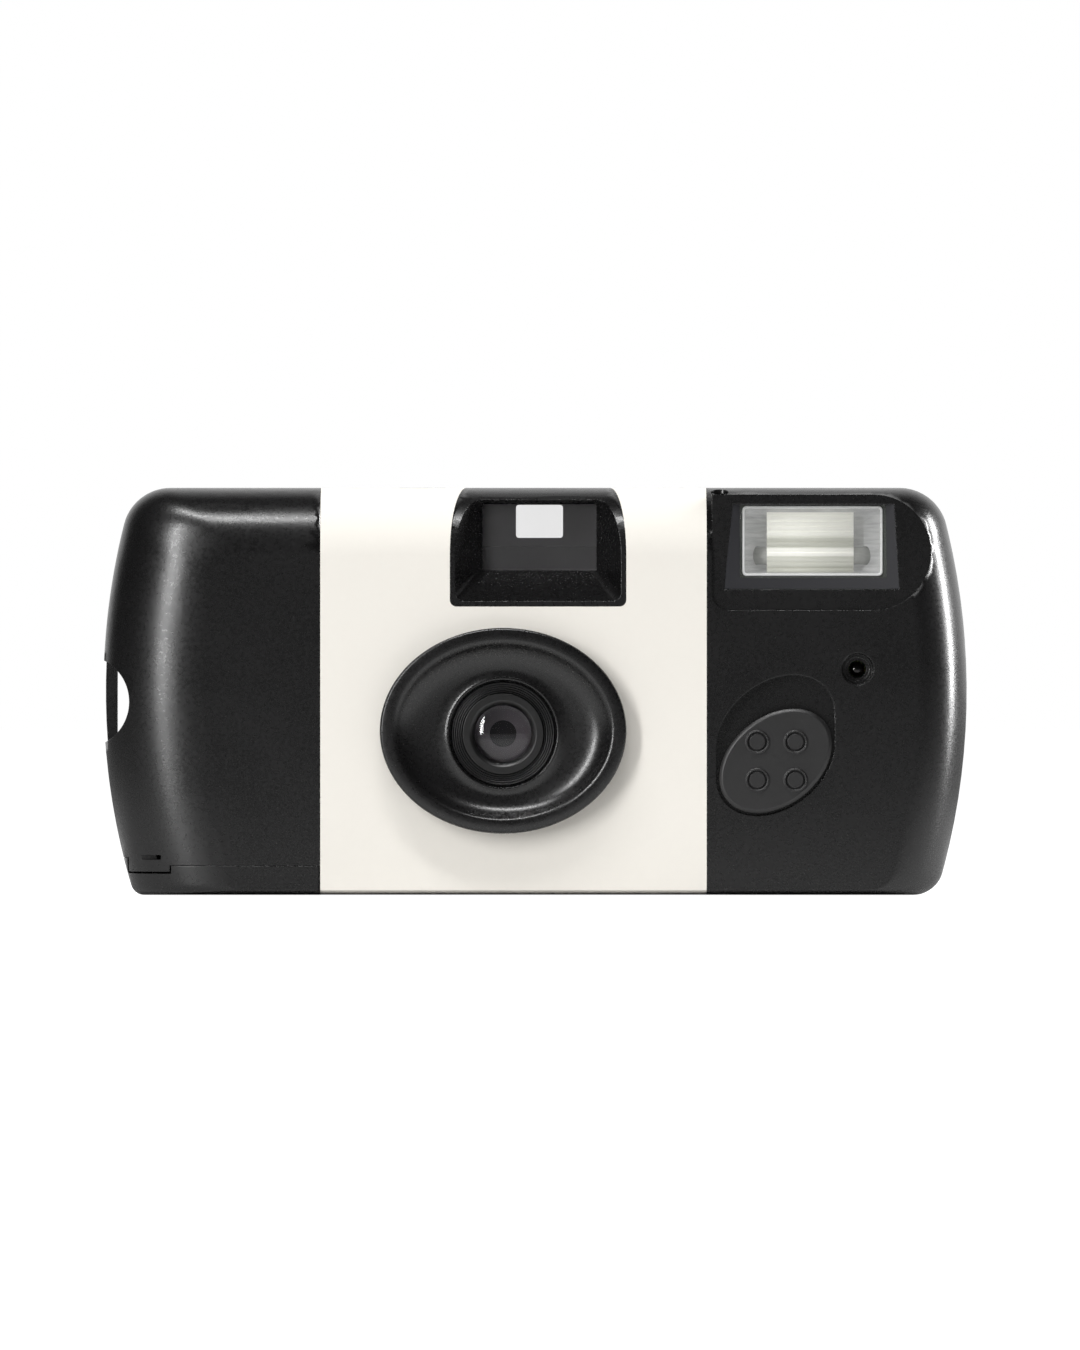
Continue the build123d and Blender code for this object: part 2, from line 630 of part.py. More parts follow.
# Main frame: cassette chamber, light box with the film gate, roll chamber and mechanism deck
LIGHT_BOX_FRONT = {"left": LENS_X - 4, "right": LENS_X + 4, "bottom": LENS_Z - 3.4, "top": LENS_Z + 3.4}
GATE = {
    "left": LENS_X - FRAME_WIDTH / 2,
    "right": LENS_X + FRAME_WIDTH / 2,
    "bottom": LENS_Z - FRAME_HEIGHT / 2,
    "top": LENS_Z + FRAME_HEIGHT / 2,
}
with BuildPart() as main_frame:
    # cassette chamber wall, ceiling and floor rim
    post(CASSETTE_X, CASSETTE_Y, (FRAME_FLOOR_Z, CASSETTE_TOP_Z + 1.2), CHAMBER_RADIUS + CHAMBER_WALL)
    post(CASSETTE_X, CASSETTE_Y, (0, CASSETTE_TOP_Z + 0.3), CHAMBER_RADIUS, mode=Mode.SUBTRACT)
    post(CASSETTE_X, CASSETTE_Y, (40, 50), 4.0 + RUNNING_FIT, mode=Mode.SUBTRACT)
    block((-60, -20), (GATE_FRONT_Y, 20), (-1, CASSETTE_TOP_Z + 0.1), mode=Mode.SUBTRACT)
    block((-60, -20), (14.2, 20), (-1, 50), mode=Mode.SUBTRACT)
    block((-60, -48), (-15, 20), (-1, 4.6), mode=Mode.SUBTRACT)
    block((-55, -28.5), (-15, 20), (-1, 4.6), mode=Mode.SUBTRACT)

    # roll chamber: a wall bent round the unexposed film, with a floor and a ceiling
    post(ROLL_X, ROLL_Y, (FRAME_FLOOR_Z, DECK_TOP_Z), 10.0)
    block((13.0, 35.0), (ROLL_Y, GATE_BACK_Y), (FRAME_FLOOR_Z, DECK_TOP_Z))
    post(ROLL_X, ROLL_Y, (FRAME_FLOOR_Z + 1.2, DECK_TOP_Z - 1.2), 9.2, mode=Mode.SUBTRACT)
    block((15.8, 34.2), (ROLL_Y, 20), (FRAME_FLOOR_Z + 1.2, DECK_TOP_Z - 1.2), mode=Mode.SUBTRACT)
    post(ROLL_X, ROLL_Y, (0, 50), 1.5 + RUNNING_FIT, mode=Mode.SUBTRACT)

    # gate plate and deck
    block((-27.2, 16.0), (GATE_FRONT_Y, GATE_BACK_Y), (FRAME_FLOOR_Z, DECK_TOP_Z))
    block((-26.0, 16.0), (-8.6, GATE_BACK_Y), (DECK_Z, DECK_TOP_Z))
    block((-20.0, 18.0), (-6.0, GATE_BACK_Y), (FRAME_FLOOR_Z, FRAME_FLOOR_Z + 1.0))
    block((-26.4, -25.4), (0.0, GATE_BACK_Y), (FRAME_FLOOR_Z + 3, DECK_TOP_Z))
    for rail_z in (GATE["bottom"] - 1.4, GATE["top"] + 0.6):
        block((-26.0, 15.6), (GATE_BACK_Y, GATE_BACK_Y + 0.1), (rail_z, rail_z + 0.8))

    # light box
    rectangle_tower(grown(LIGHT_BOX_FRONT, 0.9), grown(GATE, 0.9), (BOX_FRONT_Y, GATE_FRONT_Y), 1.2)
    rectangle_tower(LIGHT_BOX_FRONT, GATE, (BOX_FRONT_Y + 1.0, GATE_BACK_Y + 0.01), 0.6, Mode.SUBTRACT)
    block(
        (GATE["left"], GATE["right"]),
        (GATE_FRONT_Y + 0.8, GATE_BACK_Y + 1),
        (GATE["bottom"], GATE["top"]),
        mode=Mode.SUBTRACT,
    )
    barrel(LENS_X, LENS_Z, (BOX_FRONT_Y - 1, BOX_FRONT_Y + 2), 2.4, mode=Mode.SUBTRACT)

    # front plate that carries the shutter, standing on the light box and the deck
    block((-19.0, 11.0), (BOX_FRONT_Y, BOX_FRONT_Y + 1.2), (9.0, DECK_TOP_Z))
    barrel(LENS_X, LENS_Z, (BOX_FRONT_Y - 1, BOX_FRONT_Y + 2), 2.4, mode=Mode.SUBTRACT)
    for foot_x, foot_z in LENS_SCREW_POSTS:
        barrel(foot_x, foot_z, (PLATE_Y, BOX_FRONT_Y), 1.3)
    barrel(BLADE_PIVOT[0], BLADE_PIVOT[1], (PLATE_Y, BOX_FRONT_Y), BLADE_PIN_RADIUS)
    barrel(STRIKER_PIVOT[0], STRIKER_PIVOT[1], (-12.1, BOX_FRONT_Y), STRIKER_PIN_RADIUS)

    # bearing sleeve of the sprocket shaft
    post(SPROCKET_X, SPROCKET_Y, (38.4, DECK_TOP_Z), 2.4)
    post(SPROCKET_X, SPROCKET_Y, (30, 50), SPROCKET_SHAFT + RUNNING_FIT, mode=Mode.SUBTRACT)
    post(SPROCKET_X, SPROCKET_Y, (35.0, 38.4), 6.9, mode=Mode.SUBTRACT)

    # posts on the deck for the counter dial, the pawl and the release lever
    post(DIAL_X, DIAL_Y, (DECK_TOP_Z, 52.4), 0.9)
    post(DIAL_X, DIAL_Y, (DECK_TOP_Z, DIAL_Z[0] - 0.2), 1.8)
    post(PAWL_X, PAWL_Y, (DECK_TOP_Z, 47.9), 0.8)
    post(PAWL_X, PAWL_Y, (DECK_TOP_Z, PAWL_Z[0] - 0.1), 1.3)
    block((-12.8, -10.8), (LEVER_Y[0] - 1.2, LEVER_Y[0] - 0.1), (DECK_TOP_Z, 46.0))
    barrel(*LEVER_PIVOT, (LEVER_Y[0] - 0.2, LEVER_Y[1] + 0.1), LEVER_PIN)
    block((-13.4, -12.6), (-8.95, -7.6), (DECK_Z, PAWL_Z[1]))

    # viewfinder tunnel walls and the ledge under the front lens
    for wall_x in ((-9.8, -8.9), (10.1, 11.0)):
        block(wall_x, (-7.9, 13.0), (DECK_TOP_Z, 52.8))
    block((-9.8, 11.0), (-7.9, -4.0), (DECK_TOP_Z, FINDER_LENS["bottom"]))
    block((-9.8, 11.0), (-6.4, -5.6), (DECK_TOP_Z, FINDER_LENS["bottom"] + 1.0))
    block((-9.8, 11.0), (11.8, 13.0), (DECK_TOP_Z, EYEPIECE_LENS["bottom"]))

    # walls that hold the battery
    block((34.0, 51.6), (-6.0, 13.4), (FRAME_FLOOR_Z, FRAME_FLOOR_Z + 1.0))
    block((41.6, 42.6), (6.6, 14.2), (FRAME_FLOOR_Z, 49.0))
    for tongue_x in BOTTOM_TONGUES:
        block((tongue_x - 0.3, tongue_x + 5.3), (-1, 9.0), (0, 3.0), mode=Mode.SUBTRACT)
    block((34.0, 42.6), (11.2, 12.0), (FRAME_FLOOR_Z, DECK_TOP_Z))
    block((41.6, 53.4), (6.2, 12.2), (49.2, 50.0))
    block((41.6, 42.6), (6.6, 12.2), (48.0, 50.0))
save(main_frame, "main_frame")

# Film cassette: a sheet-metal shell with a felt-lined lip and two pressed caps
CAP_HEIGHT = 2.2
shell_z = (CASSETTE_BOTTOM_Z + 0.5, CASSETTE_TOP_Z - 0.5)
lip_z = (CASSETTE_BOTTOM_Z + CAP_HEIGHT, CASSETTE_TOP_Z - CAP_HEIGHT)
with BuildPart() as cassette_shell:
    post(CASSETTE_X, CASSETTE_Y, shell_z, CASSETTE_RADIUS - SHELL_THICKNESS)
    block((CASSETTE_X, LIP_END_X), (FILM_Y - 0.9, FILM_Y + 1.1), lip_z)
    post(CASSETTE_X, CASSETTE_Y, (0, 50), CASSETTE_RADIUS - 2 * SHELL_THICKNESS, mode=Mode.SUBTRACT)
    block((CASSETTE_X, 0), (FILM_Y - 0.2, FILM_Y + 0.4), shell_z, mode=Mode.SUBTRACT)
save(cassette_shell, "cassette_shell")

for cap_name, outer_z, inner_z, cap_z in (
    ("cassette_bottom_cap", CASSETTE_BOTTOM_Z, CASSETTE_BOTTOM_Z + 0.5, CASSETTE_BOTTOM_Z + CAP_HEIGHT),
    ("cassette_top_cap", CASSETTE_TOP_Z, CASSETTE_TOP_Z - 0.5, CASSETTE_TOP_Z - CAP_HEIGHT),
):
    with BuildPart() as cassette_cap:
        post(CASSETTE_X, CASSETTE_Y, sorted((outer_z, cap_z)), CASSETTE_RADIUS)
        post(
            CASSETTE_X,
            CASSETTE_Y,
            sorted((inner_z, cap_z)),
            CASSETTE_RADIUS - SHELL_THICKNESS,
            mode=Mode.SUBTRACT,
        )
        post(CASSETTE_X, CASSETTE_Y, (0, 50), SPOOL_JOURNAL + RUNNING_FIT, mode=Mode.SUBTRACT)
    save(cassette_cap, cap_name)

# Spool inside the cassette; its slotted end stands up into the thumbwheel
with BuildPart() as cassette_spool:
    post(CASSETTE_X, CASSETTE_Y, (CASSETTE_BOTTOM_Z + 0.1, SPOOL_TOP_Z), SPOOL_JOURNAL)
    post(CASSETTE_X, CASSETTE_Y, (CASSETTE_BOTTOM_Z + 0.7, CASSETTE_TOP_Z - 0.7), 5.6)
    for flange_z in (CASSETTE_BOTTOM_Z + 1.4, CASSETTE_TOP_Z - 2.4):
        post(CASSETTE_X, CASSETTE_Y, (flange_z, flange_z + 1.0), 10.8)
    post(CASSETTE_X, CASSETTE_Y, (SPOOL_TOP_Z - 3.0, SPOOL_TOP_Z + 1), 2.2, mode=Mode.SUBTRACT)
    block(
        (CASSETTE_X - 3.0, CASSETTE_X + 3.0),
        (CASSETTE_Y - 0.7, CASSETTE_Y + 0.7),
        (SPOOL_TOP_Z - 3.0, SPOOL_TOP_Z - 1.5),
    )
save(cassette_spool, "cassette_spool")

# Thumbwheel: serrated rim, ratchet-free top, and a hub with a fork for the spool
with BuildPart() as thumbwheel:
    post(CASSETTE_X, CASSETTE_Y, (WHEEL_BOTTOM_Z, WHEEL_TOP_Z), WHEEL_RADIUS)
    with BuildSketch(Plane.XY.offset(WHEEL_BOTTOM_Z - 1)):
        with Locations((CASSETTE_X, CASSETTE_Y)):
            with PolarLocations(WHEEL_RADIUS, WHEEL_TEETH):
                Polygon((0.4, -0.75), (-0.7, 0), (0.4, 0.75), align=None)
    extrude(amount=6, mode=Mode.SUBTRACT)
    post(CASSETTE_X, CASSETTE_Y, (WHEEL_TOP_Z - 1.4, WHEEL_TOP_Z + 1), WHEEL_RADIUS - 2.4, mode=Mode.SUBTRACT)
    post(CASSETTE_X, CASSETTE_Y, (WHEEL_BOTTOM_Z - 1, WHEEL_BOTTOM_Z + 1.4), 12.0, mode=Mode.SUBTRACT)
    post(CASSETTE_X, CASSETTE_Y, (WHEEL_BOTTOM_Z, WHEEL_TOP_Z - 0.4), 6.2)
    post(CASSETTE_X, CASSETTE_Y, (0, SPOOL_TOP_Z + 0.1), SPOOL_JOURNAL + 0.1, mode=Mode.SUBTRACT)
    for side in (-1, 1):
        block(
            (CASSETTE_X - 1.2, CASSETTE_X + 1.2),
            sorted((CASSETTE_Y + side * 0.9, CASSETTE_Y + side * 1.8)),
            (SPOOL_TOP_Z - 2.6, WHEEL_TOP_Z - 1.4),
        )
    post(CASSETTE_X, CASSETTE_Y, (SPOOL_TOP_Z - 1.3, WHEEL_TOP_Z - 1.4), 1.9)
save(thumbwheel, "thumbwheel")

# Film: the stretch behind the gate, perforated along both edges, and the unexposed roll
with BuildPart() as film_strip:
    block(
        (-30.4, 21.4),
        (FILM_Y, FILM_Y + FILM_THICKNESS),
        (FILM_Z - FILM_WIDTH / 2, FILM_Z + FILM_WIDTH / 2),
    )
    with BuildSketch(facing(FILM_Y - 1)):
        with Locations((-4.5, FILM_Z)):
            with GridLocations(PERFORATION_PITCH, 2 * PERFORATION_ROW, 11, 2):
                Rectangle(2.0, 2.8)
    extrude(amount=-3, mode=Mode.SUBTRACT)
save(film_strip, "film_strip")

roll_z = (FILM_Z - FILM_WIDTH / 2, FILM_Z + FILM_WIDTH / 2)
with BuildPart() as film_roll:
    post(ROLL_X, ROLL_Y, roll_z, ROLL_RADIUS)
    post(ROLL_X, ROLL_Y, roll_z, ROLL_CORE_RADIUS, mode=Mode.SUBTRACT)
save(film_roll, "film_roll")

with BuildPart() as roll_core:
    post(ROLL_X, ROLL_Y, (roll_z[0] - 0.5, roll_z[1] + 0.5), ROLL_CORE_RADIUS)
    post(ROLL_X, ROLL_Y, (FRAME_FLOOR_Z + 0.2, DECK_TOP_Z - 0.1), 1.5)
save(roll_core, "roll_core")

# Sprocket that meters one frame a turn, with its cam and counter finger above the deck
with BuildPart() as film_sprocket:
    post(SPROCKET_X, SPROCKET_Y, (35.3, 37.7), 5.2)
    with BuildSketch(Plane.XY.offset(36.0)):
        with Locations((SPROCKET_X, SPROCKET_Y)):
            with PolarLocations(5.0, 8):
                Polygon((0, -0.8), (1.2, -0.4), (1.2, 0.4), (0, 0.8), align=None)
    extrude(amount=1.2)
    post(SPROCKET_X, SPROCKET_Y, (35.3, DECK_TOP_Z + 0.3), SPROCKET_SHAFT)
save(film_sprocket, "film_sprocket")

with BuildPart() as sprocket_cam:
    post(SPROCKET_X, SPROCKET_Y, (DECK_TOP_Z + 0.3, DECK_TOP_Z + 2.3), 4.4)
    block(
        (SPROCKET_X + 2.6, SPROCKET_X + 6),
        (SPROCKET_Y - 1.2, SPROCKET_Y + 1.2),
        (DECK_TOP_Z, DECK_TOP_Z + 3),
        mode=Mode.SUBTRACT,
    )
    post(SPROCKET_X, SPROCKET_Y, (DECK_TOP_Z + 0.3, DIAL_Z[1]), 1.0)
    block(
        (SPROCKET_X, SPROCKET_X + 1.8),
        (SPROCKET_Y - 0.4, SPROCKET_Y + 0.4),
        (DIAL_Z[0] + 0.2, DIAL_Z[1]),
    )
save(sprocket_cam, "sprocket_cam")

# Frame-counter dial and the clear window above it
with BuildPart() as counter_dial:
    post(DIAL_X, DIAL_Y, DIAL_Z, DIAL_RADIUS)
    with BuildSketch(Plane.XY.offset(DIAL_Z[0])):
        with Locations((DIAL_X, DIAL_Y)):
            with PolarLocations(DIAL_RADIUS, DIAL_TEETH):
                Polygon((0.2, -0.3), (-0.5, 0), (0.2, 0.3), align=None)
    extrude(amount=DIAL_Z[1] - DIAL_Z[0], mode=Mode.SUBTRACT)
    post(DIAL_X, DIAL_Y, (DIAL_Z[0], DIAL_Z[1]), 0.9 + RUNNING_FIT, mode=Mode.SUBTRACT)
save(counter_dial, "counter_dial")

with BuildPart() as counter_window:
    block((-17.9, -12.5), (-3.7, 0.7), (53.0, 54.5))
    block((-18.6, -11.8), (-4.4, 1.4), (52.6, HEIGHT - WALL - 0.1))
    post(DIAL_X, DIAL_Y, (52.0, 52.9), 1.2, mode=Mode.SUBTRACT)
    fillet(counter_window.faces().sort_by(Axis.Z)[-1].edges(), 0.4)
save(counter_window, "counter_window")

# Taking lens: a single meniscus held behind a stepped black retainer
LENS_FRONT_Y = -13.9
FRONT_CURVE = 9.3
REAR_CURVE = 18.7
with BuildPart() as taking_lens:
    with Locations((LENS_X, LENS_FRONT_Y + FRONT_CURVE, LENS_Z)):
        Sphere(FRONT_CURVE)
    barrel(LENS_X, LENS_Z, (LENS_FRONT_Y - 1, LENS_FRONT_Y + 1.8), 4.2, mode=Mode.INTERSECT)
    barrel(LENS_X, LENS_Z, (LENS_FRONT_Y + 1.0, LENS_FRONT_Y + 1.8), 4.8)
    with Locations((LENS_X, LENS_FRONT_Y + 1.45 + REAR_CURVE, LENS_Z)):
        Sphere(REAR_CURVE, mode=Mode.SUBTRACT)
save(taking_lens, "taking_lens")

with BuildPart() as lens_retainer:
    barrel(LENS_X, LENS_Z, (-13.0, -10.6), 6.6)
    barrel(LENS_X, LENS_Z, (-14.4, -13.0), 5.4)
    barrel(LENS_X, LENS_Z, (-13.55, -10.0), 5.0, mode=Mode.SUBTRACT)
    with BuildSketch(facing(-14.5)):
        with Locations((LENS_X, LENS_Z)):
            Circle(4.6)
    with BuildSketch(facing(-13.5)):
        with Locations((LENS_X, LENS_Z)):
            Circle(3.75)
    loft(mode=Mode.SUBTRACT)
    for side in (-1, 1):
        block((LENS_X + side * 6.0 - 0.9, LENS_X + side * 6.0 + 0.9), (-11.4, -10.6), (LENS_Z - 1, LENS_Z + 1))
save(lens_retainer, "lens_retainer")

# Plate with the fixed aperture, in front of the shutter blade
with BuildPart() as aperture_plate:
    barrel(LENS_X, LENS_Z, (-10.6, PLATE_Y), 7.0)
    for foot_x, foot_z in LENS_SCREW_POSTS:
        block(
            sorted((LENS_X, foot_x)),
            (-10.2, PLATE_Y),
            (min(LENS_Z, foot_z) - 1.6, max(LENS_Z, foot_z) + 1.6),
        )
        barrel(foot_x, foot_z, (-10.2, PLATE_Y), 1.8)
    barrel(LENS_X, LENS_Z, (-12.0, -10.6), 4.9)
    barrel(LENS_X, LENS_Z, (-12.05, -10.2), 4.2, mode=Mode.SUBTRACT)
    barrel(LENS_X, LENS_Z, (-13, -9), 1.6, mode=Mode.SUBTRACT)
save(aperture_plate, "aperture_plate")

# Shutter blade: a thin leaf swinging on a pin, with a tail that the striker hits
BLADE_Y = (BOX_FRONT_Y - 0.65, BOX_FRONT_Y - 0.35)
with BuildPart() as shutter_blade:
    barrel(LENS_X, LENS_Z, BLADE_Y, 3.1)
    barrel(BLADE_PIVOT[0], BLADE_PIVOT[1], BLADE_Y, 1.9)
    with BuildSketch(facing(BLADE_Y[1])):
        with BuildLine():
            Polyline(
                (LENS_X + 1.2, LENS_Z + 2.8),
                (BLADE_PIVOT[0] - 1.0, BLADE_PIVOT[1] + 1.6),
                (BLADE_PIVOT[0] - 0.4, 33.6),
                (BLADE_PIVOT[0] - 2.6, 35.4),
                (BLADE_PIVOT[0] - 1.9, 36.3),
                (BLADE_PIVOT[0] + 1.2, 34.2),
                (BLADE_PIVOT[0] + 1.6, BLADE_PIVOT[1] - 0.8),
                (LENS_X + 2.4, LENS_Z - 1.9),
                close=True,
            )
        make_face()
    extrude(amount=BLADE_Y[1] - BLADE_Y[0])
    barrel(BLADE_PIVOT[0], BLADE_PIVOT[1], (-12, -8), BLADE_PIN_RADIUS + RUNNING_FIT, mode=Mode.SUBTRACT)
save(shutter_blade, "shutter_blade")

# Sprung striker lever beside the lens, cocked by the cam and freed by the release lever
STRIKER_Y = (-11.7, -10.8)
with BuildPart() as striker_lever:
    barrel(STRIKER_PIVOT[0], STRIKER_PIVOT[1], STRIKER_Y, 2.2)
    with BuildSketch(facing(STRIKER_Y[1])):
        with BuildLine():
            Polyline(
                (STRIKER_PIVOT[0], STRIKER_PIVOT[1] + 1.6),
                (STRIKER_PIVOT[0] + 11.0, STRIKER_PIVOT[1] + 4.4),
                (STRIKER_PIVOT[0] + 12.6, STRIKER_PIVOT[1] + 3.4),
                (STRIKER_PIVOT[0] + 11.4, STRIKER_PIVOT[1] + 2.2),
                (STRIKER_PIVOT[0] + 1.0, STRIKER_PIVOT[1] - 1.8),
                (STRIKER_PIVOT[0] - 1.6, STRIKER_PIVOT[1] - 5.2),
                (STRIKER_PIVOT[0] - 3.2, STRIKER_PIVOT[1] - 4.8),
                (STRIKER_PIVOT[0] - 2.0, STRIKER_PIVOT[1] + 0.8),
                close=True,
            )
        make_face()
    extrude(amount=STRIKER_Y[1] - STRIKER_Y[0])
    barrel(
        STRIKER_PIVOT[0], STRIKER_PIVOT[1], (-13, -8), STRIKER_PIN_RADIUS + RUNNING_FIT, mode=Mode.SUBTRACT
    )
save(striker_lever, "striker_lever")

with BuildPart() as striker_spring:
    barrel(STRIKER_PIVOT[0], STRIKER_PIVOT[1], (-10.4, -9.2), 1.7)
    barrel(STRIKER_PIVOT[0], STRIKER_PIVOT[1], (-11, -8), 1.2, mode=Mode.SUBTRACT)
    block((STRIKER_PIVOT[0] - 1.7, STRIKER_PIVOT[0] - 1.3), (-9.6, -9.2), (24.0, STRIKER_PIVOT[1]))
    block((STRIKER_PIVOT[0], STRIKER_PIVOT[0] + 6), (-10.4, -10.0), (36.3, 36.7))
save(striker_spring, "striker_spring")

with BuildPart() as blade_spring:
    block((BLADE_PIVOT[0] + 2.6, 10.6), (-10.0, PLATE_Y), (32.0, 32.4))
    block((10.2, 10.6), (-10.0, PLATE_Y), (24.0, 32.4))
    block((10.2, 10.6), (-10.0, BOX_FRONT_Y), (24.0, 25.0))
save(blade_spring, "blade_spring")

# Viewfinder lenses, seen straight through from front to back
for lens_name, limits, lens_y, hollow in (
    ("viewfinder_front_lens", FINDER_LENS, (FINDER_WINDOW_Y + SEAT_GAP, FINDER_WINDOW_Y + 1.55), 24.0),
    ("viewfinder_eyepiece", EYEPIECE_LENS, EYEPIECE_LENS_Y, 0),
):
    with BuildPart() as finder_lens:
        block((limits["left"], limits["right"]), lens_y, (limits["bottom"], limits["top"]))
        if hollow:
            middle = ((limits["left"] + limits["right"]) / 2, (limits["bottom"] + limits["top"]) / 2)
            with Locations((middle[0], lens_y[1] + hollow - 0.8, middle[1])):
                Sphere(hollow, mode=Mode.SUBTRACT)
    save(finder_lens, lens_name)

# Shutter button: an oval pad flush in the top, with an arm over the thumbwheel and a stem
with BuildPart() as shutter_button:
    with BuildSketch(Plane.XY.offset(HEIGHT - 2.4)):
        with Locations((BUTTON_X, BUTTON_Y)):
            SlotOverall(BUTTON_LENGTH, BUTTON_WIDTH)
    extrude(amount=2.2)
    fillet(shutter_button.faces().sort_by(Axis.Z)[-1].edges(), 0.5)
    block((BUTTON_X - 4, STEM_X[1]), (-3.4, -1.0), (HEIGHT - 4.2, HEIGHT - 2.4))
    block(STEM_X, (STEM_Y[0], -1.0), (HEIGHT - 4.2, HEIGHT - 2.4))
    block(STEM_X, STEM_Y, (LEVER_TOP_Z + BUTTON_TRAVEL + FREE_GAP, HEIGHT - 2.4))
save(shutter_button, "shutter_button")

spring_x = sum(STEM_X) / 2
with BuildPart() as button_spring:
    with BuildLine():
        Helix(1.65, 6.6, 1.1, center=(spring_x, -1.9, DECK_TOP_Z + 0.25))
    with BuildSketch(Plane(origin=(spring_x + 1.1, -1.9, DECK_TOP_Z + 0.25), z_dir=(0, 1, 0))):
        RegularPolygon(0.24, 4)
    sweep(is_frenet=True)
save(button_spring, "button_spring")

# Release lever under the button stem, rocking on a pin of the main frame
with BuildPart() as release_lever:
    block((STEM_X[0] - 0.3, LEVER_PIVOT[0]), LEVER_Y, (LEVER_TOP_Z - 0.8, LEVER_TOP_Z))
    barrel(*LEVER_PIVOT, LEVER_Y, 1.3)
    block((LEVER_PIVOT[0] - 3.4, LEVER_PIVOT[0] - 2.6), LEVER_Y, (LEVER_TOP_Z - 1.7, LEVER_TOP_Z))
    barrel(*LEVER_PIVOT, (LEVER_Y[0] - 1, LEVER_Y[1] + 1), LEVER_PIN + RUNNING_FIT, mode=Mode.SUBTRACT)
save(release_lever, "release_lever")

# Pawl that locks the thumbwheel between frames, and its leaf spring
pawl_aim = degrees(atan2(CASSETTE_Y - PAWL_Y, CASSETTE_X - PAWL_X))
pawl_reach = hypot(CASSETTE_X - PAWL_X, CASSETTE_Y - PAWL_Y) - WHEEL_RADIUS - 0.35
with BuildPart() as wind_pawl:
    post(PAWL_X, PAWL_Y, PAWL_Z, 1.6)
    with BuildSketch(Plane.XY.offset(PAWL_Z[0])):
        with Locations(Location((PAWL_X, PAWL_Y), (0, 0, pawl_aim))):
            with Locations((pawl_reach / 2, 0)):
                Rectangle(pawl_reach, 1.5)
    extrude(amount=PAWL_Z[1] - PAWL_Z[0])
    block((PAWL_X, PAWL_X + 2.6), (PAWL_Y - 0.7, PAWL_Y + 0.5), PAWL_Z)
    post(PAWL_X, PAWL_Y, (40, 50), 0.8 + RUNNING_FIT, mode=Mode.SUBTRACT)
save(wind_pawl, "wind_pawl")

with BuildPart() as pawl_spring:
    block((PAWL_X + 1.7, -13.4), (PAWL_Y - 1.35, PAWL_Y - 1.05), (PAWL_Z[0] + 0.2, PAWL_Z[1] - 0.4))
save(pawl_spring, "pawl_spring")

# Flash: ribbed clear window, bright trough reflector and the xenon tube across it
with BuildPart() as flash_window:
    block(
        (FLASH_WINDOW["left"], FLASH_WINDOW["right"]),
        (FLASH_WINDOW_Y, -12.2),
        (FLASH_WINDOW["bottom"], FLASH_WINDOW["top"]),
    )
    chamfer(flash_window.faces().sort_by(Axis.Y)[0].edges(), 0.2)
    block((26.4, 48.1), (-12.75, -12.2), (41.0, 53.0))
    with BuildSketch(facing(-12.2)):
        with Locations((37.25, 47.7)):
            with GridLocations(1, WINDOW_RIB_PITCH, 1, 11):
                Rectangle(11.7, 0.3)
    extrude(amount=-0.2, mode=Mode.SUBTRACT)
save(flash_window, "flash_window")

REFLECTOR_MOUTH = {"left": 28.0, "right": 46.75, "bottom": 43.1, "top": 52.3}
REFLECTOR_BACK = {"left": 31.4, "right": 43.1, "bottom": 44.2, "top": 50.6}
with BuildPart() as flash_reflector:
    block((26.4, 48.1), (-12.15, -11.75), (41.0, 53.0))
    rectangle_tower(grown(REFLECTOR_MOUTH, 0.4), grown(REFLECTOR_BACK, 0.4), (-12.15, -5.4), 1.0)
    rectangle_tower(REFLECTOR_MOUTH, REFLECTOR_BACK, (-12.2, -5.8), 0.7, Mode.SUBTRACT)
    rod(TUBE_Y, TUBE_Z, (25, 50), TUBE_RADIUS + 0.15, mode=Mode.SUBTRACT)
save(flash_reflector, "flash_reflector")

with BuildPart() as flash_tube:
    rod(TUBE_Y, TUBE_Z, (27.6, 47.2), TUBE_RADIUS)
    for end_x in ((26.5, 27.6), (47.2, 48.1)):
        rod(TUBE_Y, TUBE_Z, end_x, 0.4)
save(flash_tube, "flash_tube")

# Circuit board and what is soldered to it
with BuildPart() as circuit_board:
    block((BOARD_LEFT_X, 53.4), (BOARD_Y, BOARD_Y + 1.2), (4.4, 38.2))
    for hole_x, hole_z in ((38.2, 6.6), (51.2, 6.6), (38.2, 36.0)):
        barrel(hole_x, hole_z, (BOARD_Y - 1, BOARD_Y + 2), 0.9, mode=Mode.SUBTRACT)
save(circuit_board, "circuit_board")

with BuildPart() as flash_capacitor:
    post(CAPACITOR_X, CAPACITOR_Y, (FRAME_FLOOR_Z + 1.05, 31.6), CAPACITOR_RADIUS)
    chamfer(flash_capacitor.edges().filter_by(GeomType.CIRCLE), 0.5)
    for lead_x in (-2.2, 2.2):
        block(
            (CAPACITOR_X + lead_x - 0.3, CAPACITOR_X + lead_x + 0.3),
            (CAPACITOR_Y - 0.3, CAPACITOR_Y + 0.3),
            (31.6, 33.0),
        )
        block(
            (CAPACITOR_X + lead_x - 0.3, CAPACITOR_X + lead_x + 0.3),
            (BOARD_Y + 1.2, CAPACITOR_Y),
            (32.5, 33.0),
        )
save(flash_capacitor, "flash_capacitor")

with BuildPart() as transformer:
    block((44.8, 53.0), (BOARD_Y + 1.2, 1.0), (34.2, 35.4))
    block((44.8, 53.0), (BOARD_Y + 1.2, 1.0), (38.8, 40.0))
    block((46.2, 51.6), (BOARD_Y + 2.4, -0.2), (35.4, 38.8))
    block((45.6, 52.2), (BOARD_Y + 1.8, 0.4), (35.6, 38.6))
save(transformer, "transformer")

